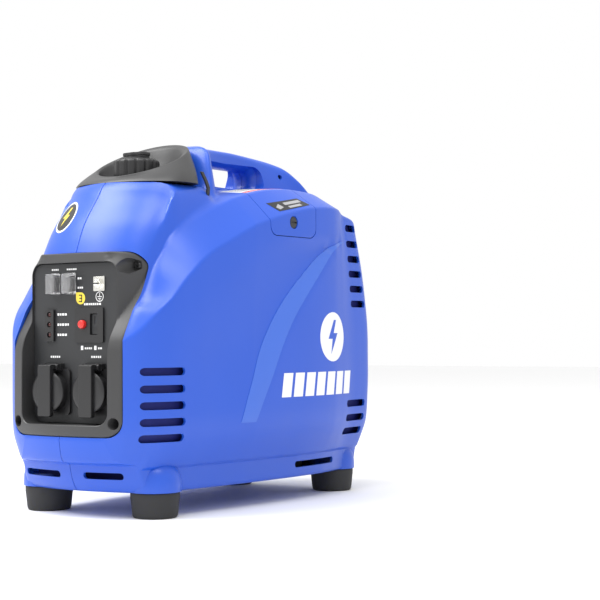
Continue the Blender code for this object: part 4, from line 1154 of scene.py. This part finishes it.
def digit_strokes(digit, a, b, height, lean=1):
    """Numbers 1 to 4 from straight bars, each given by its two ends."""
    width, stroke = 0.52 * height, 0.17 * height
    bars = {1: [(0, -0.415, 0, 0.415)],
            2: [(-0.5, 0.5, 0.5, 0.5), (0.5, 0, 0.5, 0.5), (-0.5, 0, 0.5, 0), (-0.5, -0.5, -0.5, 0),
                (-0.5, -0.5, 0.5, -0.5)],
            3: [(-0.5, 0.5, 0.5, 0.5), (0.5, -0.5, 0.5, 0.5), (-0.3, 0, 0.5, 0), (-0.5, -0.5, 0.5, -0.5)],
            4: [(-0.5, 0, -0.5, 0.5), (-0.5, 0, 0.5, 0), (0.5, -0.5, 0.5, 0.5)]}[digit]
    made = []
    for u0, v0, u1, v1 in bars:
        low, high = sorted((a + lean * u0 * width, a + lean * u1 * width))
        made.append(bar_shape(low - stroke / 2, b + v0 * height - stroke / 2,
                              high + stroke / 2, b + v1 * height + stroke / 2))
    return made


def on_panel(a, b):
    return Vector((a, PANEL, b)) * MM, Vector((0, -1, 0))


def on_grip(a, b):
    return Vector((GRIP_FACE, a, b)) * MM, Vector((-1, 0, 0))


def on_knob(a, b):
    return Vector((a, b, KNOB_TOP)) * MM, Vector((0, 0, 1))


on_top = onto(surface_tree(left, right, hatch), (0, 0, -1), 600)
RIGHT = (onto(surface_tree(right, hatch), (-1, 0, 0), 300), HOUSING, "blue_plastic")
LEFT = (onto(surface_tree(left, service), (1, 0, 0), -300), HOUSING, "blue_plastic")
NOSE = (onto(surface_tree(left, right), (0, 1, 0), -400), HOUSING, "blue_plastic")
SHOULDER = (on_top, HOUSING, "blue_plastic")
HATCH_TOP = (on_top, "spark_plug_cover", "blue_plastic")
HATCH_SIDE = (onto(surface_tree(hatch), (-1, 0, 0), 300), "spark_plug_cover", "black_plastic")
COVER = (onto(surface_tree(service), (1, 0, 0), -300), "maintenance_cover", "blue_plastic")
PLATE = (on_panel, HOUSING, "panel_plastic")
GRIP = (on_grip, "recoil_grip", "black_plastic")
KNOB = (on_knob, "vent_lever", "black_plastic")


def crescent(z0, z1, y0=-200, y1=200):
    """Outline of the painted highlight on the bevelled strip that sweeps up a flank, between two heights and
    two stations.
    """
    heights = np.linspace(z0, z1, 26)
    front = [(min(max(arc_line(z), y0), y1), z) for z in heights]
    back = [(min(max(arc_line(z) + arc_width(z), y0), y1), z) for z in heights]
    return [front + back[::-1]]


# The lighter blue strips are painted highlight on the bevelled step.
decal("flank_sweep_highlight_right", [crescent(106, 335)], SWEEP_HIGHLIGHT, RIGHT, thick=0.5, step=4)
decal("flank_sweep_highlight_left", [crescent(176, 268, y1=18.2)], SWEEP_HIGHLIGHT, LEFT, thick=0.5, step=4)
decal("flank_sweep_highlight_cover", [crescent(241, 317, y0=19.8)], SWEEP_HIGHLIGHT, COVER, thick=0.5, step=4)

# right flank: roundel with a bolt, and a plain row of slanted blocks
decal("flank_roundel", [[circle(*ROUNDEL, 32, 48)]], WHITE, RIGHT)
decal("flank_bolt", [bolt_shape(*ROUNDEL, 22)], BLUE, RIGHT, thick=0.45)
decal("flank_blocks", [[[(y - 4, 134), (y + 15, 134), (y + 20, 164), (y + 1, 164)]]
                       for y in np.arange(-9, 139, 24.5)], WHITE, RIGHT)

# spark plug hatch and right shoulder: blank labels
decal("hatch_label", [[[(-17, 376), (-7, 366), (58, 378.4), (47, 386.5)]]], DARK_INK_AND_SHADE, HATCH_SIDE)
decal("hatch_label_lines", [[[(12, 375.2), (47, 381.4), (45, 384.2), (11, 378.2)]],
                            [[(16, 371.8), (42, 376.6), (40.5, 378.8), (15, 374)]],
                            [[(-7, 371), (-3, 368.6), (6, 372), (1, 376)]]], GREY, HATCH_SIDE, thick=0.4)
decal("top_label", [bar_shape(56, -28, 99, 56, 2)], WHITE, HATCH_TOP)
decal("top_label_lines", [bar_shape(58.5 + 3.2 * k, -24 + (k % 3), 59.7 + 3.2 * k, 50 - 5 * (k % 2))
                          for k in range(9)], GREY, HATCH_TOP, thick=0.4)
decal("top_label_band", [bar_shape(90.5, -27, 98, 55, 1)], RED_INK, HATCH_TOP, thick=0.4)
decal("shoulder_label", [bar_shape(72, 72, 92, 132, 4)], DARK_INK_AND_SHADE, SHOULDER)
decal("shoulder_label_ring", [ring_shape(82, 82, 7, 2), bar_shape(79, 94, 81, 124),
                              bar_shape(83, 94, 85, 118)], GREY, SHOULDER, thick=0.4)

# nose: a plain badge
for tag, shape, look, thick in (("rim", [circle(*BADGE, 19.5, 48)], WHITE, 0.25),
                                ("disc", [circle(*BADGE, 17, 48)], DARK_INK_AND_SHADE, 0.4),
                                ("bolt", bolt_shape(*BADGE, 12), YELLOW, 0.6)):
    decal(f"nose_badge_{tag}", [shape], look, NOSE, thick, 6)

# left flank: arc over the starter
arc = [(ROPE_Y + 42 * math.cos(a), 193 + 42 * math.sin(a)) for a in np.linspace(0.0, math.pi, 32)]
arc += [(ROPE_Y + 36.5 * math.cos(a), 193 + 36.5 * math.sin(a)) for a in np.linspace(math.pi, 0.0, 32)]
decal("starter_arc", [[arc]], GREY, LEFT)

# maintenance cover: the blank instruction label
guide = []
for index in range(9):
    z = 208 - 7.2 * index
    guide += dashes(90, 143 - 6 * (index % 3), z, 1.6, (4, 7, 3, 6))
    guide += dashes(32, 78 - 5 * (index % 2), z, 1.6, (6, 3, 8))
for index in range(6):
    guide += dashes(70, 118 - 4 * (index % 3), 112 - 4.6 * index, 1.3, (7, 4, 9))
guide += dashes(58, 118, 217, 2.6, (3, 5, 4))
guide += [ring_shape(a, 134, 7.5, 1.2) for a in (46, 88, 128)]
decal("start_guide", [bar_shape(24, 80, 150, 247, 5)], WHITE, COVER)
decal("start_guide_lines", guide, GREY, COVER, thick=0.4, step=30)
decal("start_guide_head", [bar_shape(31, 231, 143, 241)], YELLOW, COVER, thick=0.4)
decal("start_guide_bar", [bar_shape(31, 223.5, 143, 229)], DARK_INK_AND_SHADE, COVER, thick=0.4)

# maintenance cover: choke and fuel tap labels, thick because the flank bends sharply there
decal("choke_label", [bar_shape(66, 320, 142, 342, 4)], DARK_INK_AND_SHADE, COVER, thick=0.9, step=4)
decal("choke_label_dots", [[circle(y, 331, 7, 28)] for y in (75, 133)], YELLOW, COVER, thick=1.1, step=4)
decal("choke_label_marks", digit_strokes(1, 133, 331, 8, -1) + digit_strokes(2, 75, 331, 7, -1), DARK_INK_AND_SHADE,
      COVER, thick=1.3, step=4)
decal("choke_label_lines", dashes(86, 122, 334, 2.4, (3, 5, 2)) + dashes(90, 118, 328, 1.8, (5, 3)), GREY,
      COVER, thick=1.1, step=4)
decal("fuel_tap_label", [bar_shape(137, 359.5, 164, 369, 2)], WHITE, COVER, thick=0.6, step=4)
decal("fuel_tap_lines", dashes(141, 160, 364.5, 2.6, (2, 3, 4)), GREY, COVER, thick=0.8, step=4)

# left flank: oil, grip and skirt labels
decal("oil_label", [bar_shape(-27, 159, 14, 185, 2)], DARK_INK_AND_SHADE, LEFT)
decal("oil_label_head", [bar_shape(-25, 178, 12, 183)], YELLOW, LEFT, thick=0.4)
decal("oil_label_lines", dashes(-23, 8, 172, 1.6, (5, 3)) + dashes(-23, 4, 167, 1.6, (4, 6)), GREY, LEFT,
      thick=0.4)
decal("grip_label", [[[(-137, 143), (-178, 140), (-180, 120), (-172, 108), (-138, 104)]]], WHITE, LEFT)
decal("grip_label_lines", [ring_shape(-160, 124, 8, 1.2), [circle(-142, 138, 4, 20)]], GREY, LEFT, thick=0.4)
decal("skirt_label", [bar_shape(-138, 40, -104, 56, 1.5)], WHITE, LEFT)
decal("skirt_label_lines", dashes(-134, -108, 48, 3, (2, 3)), GREY, LEFT, thick=0.4)

# dots on the grip and on the vent knob
decal("grip_dot", [[circle(ROPE_Y, 180, 6, 28)]], YELLOW, GRIP)
decal("grip_digit", digit_strokes(4, ROPE_Y, 180, 6, -1), DARK_INK_AND_SHADE, GRIP, thick=0.45)
decal("knob_dot", [[circle(0, CAP_Y, 5, 28)]], YELLOW, KNOB, thick=0.15)

# panel: earth sign, then a row of bars where each word would stand
white_print = [ring_shape(38, 257, 6, 0.8)]
white_print += [bar_shape(34.6, 256.6, 41.4, 257.4), bar_shape(37.6, 257, 38.4, 261.4),
                bar_shape(35.8, 254.6, 40.2, 255.3), bar_shape(36.8, 252.8, 39.2, 253.5)]
THREE = (1.1, 0.8, 1.3)
WORDS = ((-37, -26, 290, 2.0, (1.2, 0.8)), (-13, 2, 290, 2.0, (1, 1.4)), (4, 11, 279, 2.2, (1.2, 1)),
         (4, 13, 268, 2.2, (1, 0.8)), (-28, -12, 237, 2.6, THREE), (-28, -9, 225, 2.6, THREE),
         (-28, -11, 213, 2.6, THREE), (14, 40, 248.5, 2.4, (0.9, 1.2, 0.7)), (15, 26, 197, 2.2, (1.1, 0.9)),
         (35.5, 43, 197, 2.2, (1, 1.2)), (-39, -24, 187, 2.4, (0.9, 1.1, 0.8)),
         (25, 40, 187, 2.4, (0.9, 1.1, 0.8)))
for word in WORDS:
    white_print += dashes(*word)
white_print += [bar_shape(9, 195, 12.5, 200), bar_shape(29.5, 195, 33, 200)]
decal("panel_print", white_print, WHITE, PLATE, thick=0.15, step=60)
drop = [(1.5, 262.5)] + [(8.5 + 7 * math.cos(a), 255.5 + 7 * math.sin(a))
                         for a in np.linspace(math.pi, 2.5 * math.pi, 28)]
decal("panel_dot", [[drop]], YELLOW, PLATE, thick=0.2, step=60)
decal("panel_dot_digit", digit_strokes(3, 8.5, 255.5, 7.5), DARK_INK_AND_SHADE, PLATE, thick=0.35, step=60)


def tether_clip():
    """The strap clip over the hood's foot."""
    strap = [[(x + a, y + b, z) for a, b in ((0, 0), (0, 5.5), (-wide, 5.5), (-wide, 0))]
             for x, y, z, wide in ((84.6, -92, 379, 1.4), (86.6, -92, 384, 2.2), (87.2, -92, 392, 2.2),
                                   (84.8, -93, 400, 2.2), (81.5, -94.5, 408, 2.2), (80.2, -96, 412, 2.2))]
    place(soften(loft("tether_clip", strap, DARK_INK_AND_SHADE), 0.4, 2), HOUSING, "black_plastic")


tether_clip()


# ------------------------------------------------------------------ floor, light and camera
FLOOR_HALF = 8000.0


def stage():
    floor_look = bpy.data.materials.new("pale_floor")
    floor_look.use_nodes = True
    shader = floor_look.node_tree.nodes["Principled BSDF"]
    shader.inputs["Base Color"].default_value = (0.93, 0.93, 0.93, 1)
    shader.inputs["Roughness"].default_value = 0.7
    corners = [(a * FLOOR_HALF, b * FLOOR_HALF, -0.05) for a, b in ((-1, -1), (1, -1), (1, 1), (-1, 1))]
    floor = piece("floor", corners, [(0, 1, 2, 3)], floor_look)


def lamp(name, spot, aim, size, watts):
    data = bpy.data.lights.new(name, "AREA")
    data.shape = "RECTANGLE"
    data.size = data.size_y = size
    data.energy = watts
    made = bpy.data.objects.new(name, data)
    made.location = spot
    made.rotation_euler = (Vector(aim) - Vector(spot)).to_track_quat("-Z", "Y").to_euler()
    bpy.context.scene.collection.objects.link(made)


def studio_camera():
    data = bpy.data.cameras.new("camera")
    data.sensor_width = 36.0
    data.lens = CAMERA_LENS
    data.clip_start = 0.05
    data.clip_end = 60
    camera = bpy.data.objects.new("camera", data)
    camera.location = CAMERA_SPOT
    bpy.context.scene.collection.objects.link(camera)
    facing = (Vector(CAMERA_AIM) - camera.location).to_track_quat("-Z", "Y")
    camera.rotation_euler = (facing @ Quaternion((0, 0, 1), math.radians(CAMERA_ROLL))).to_euler()
    return camera


stage()
world = bpy.data.worlds.new("studio")
world.use_nodes = True
world.node_tree.nodes["Background"].inputs["Color"].default_value = (1, 1, 1, 1)
world.node_tree.nodes["Background"].inputs["Strength"].default_value = 1.0
bpy.context.scene.world = world
lamp("key", (-0.94, -1.10, 2.2), (0, -0.1, 0.3), 1.5, 62)
lamp("top", (0.75, -0.7, 2.5), (0, 0, 0.3), 1.2, 26)
bpy.context.scene.camera = studio_camera()
bpy.context.scene.view_settings.view_transform = "Standard"
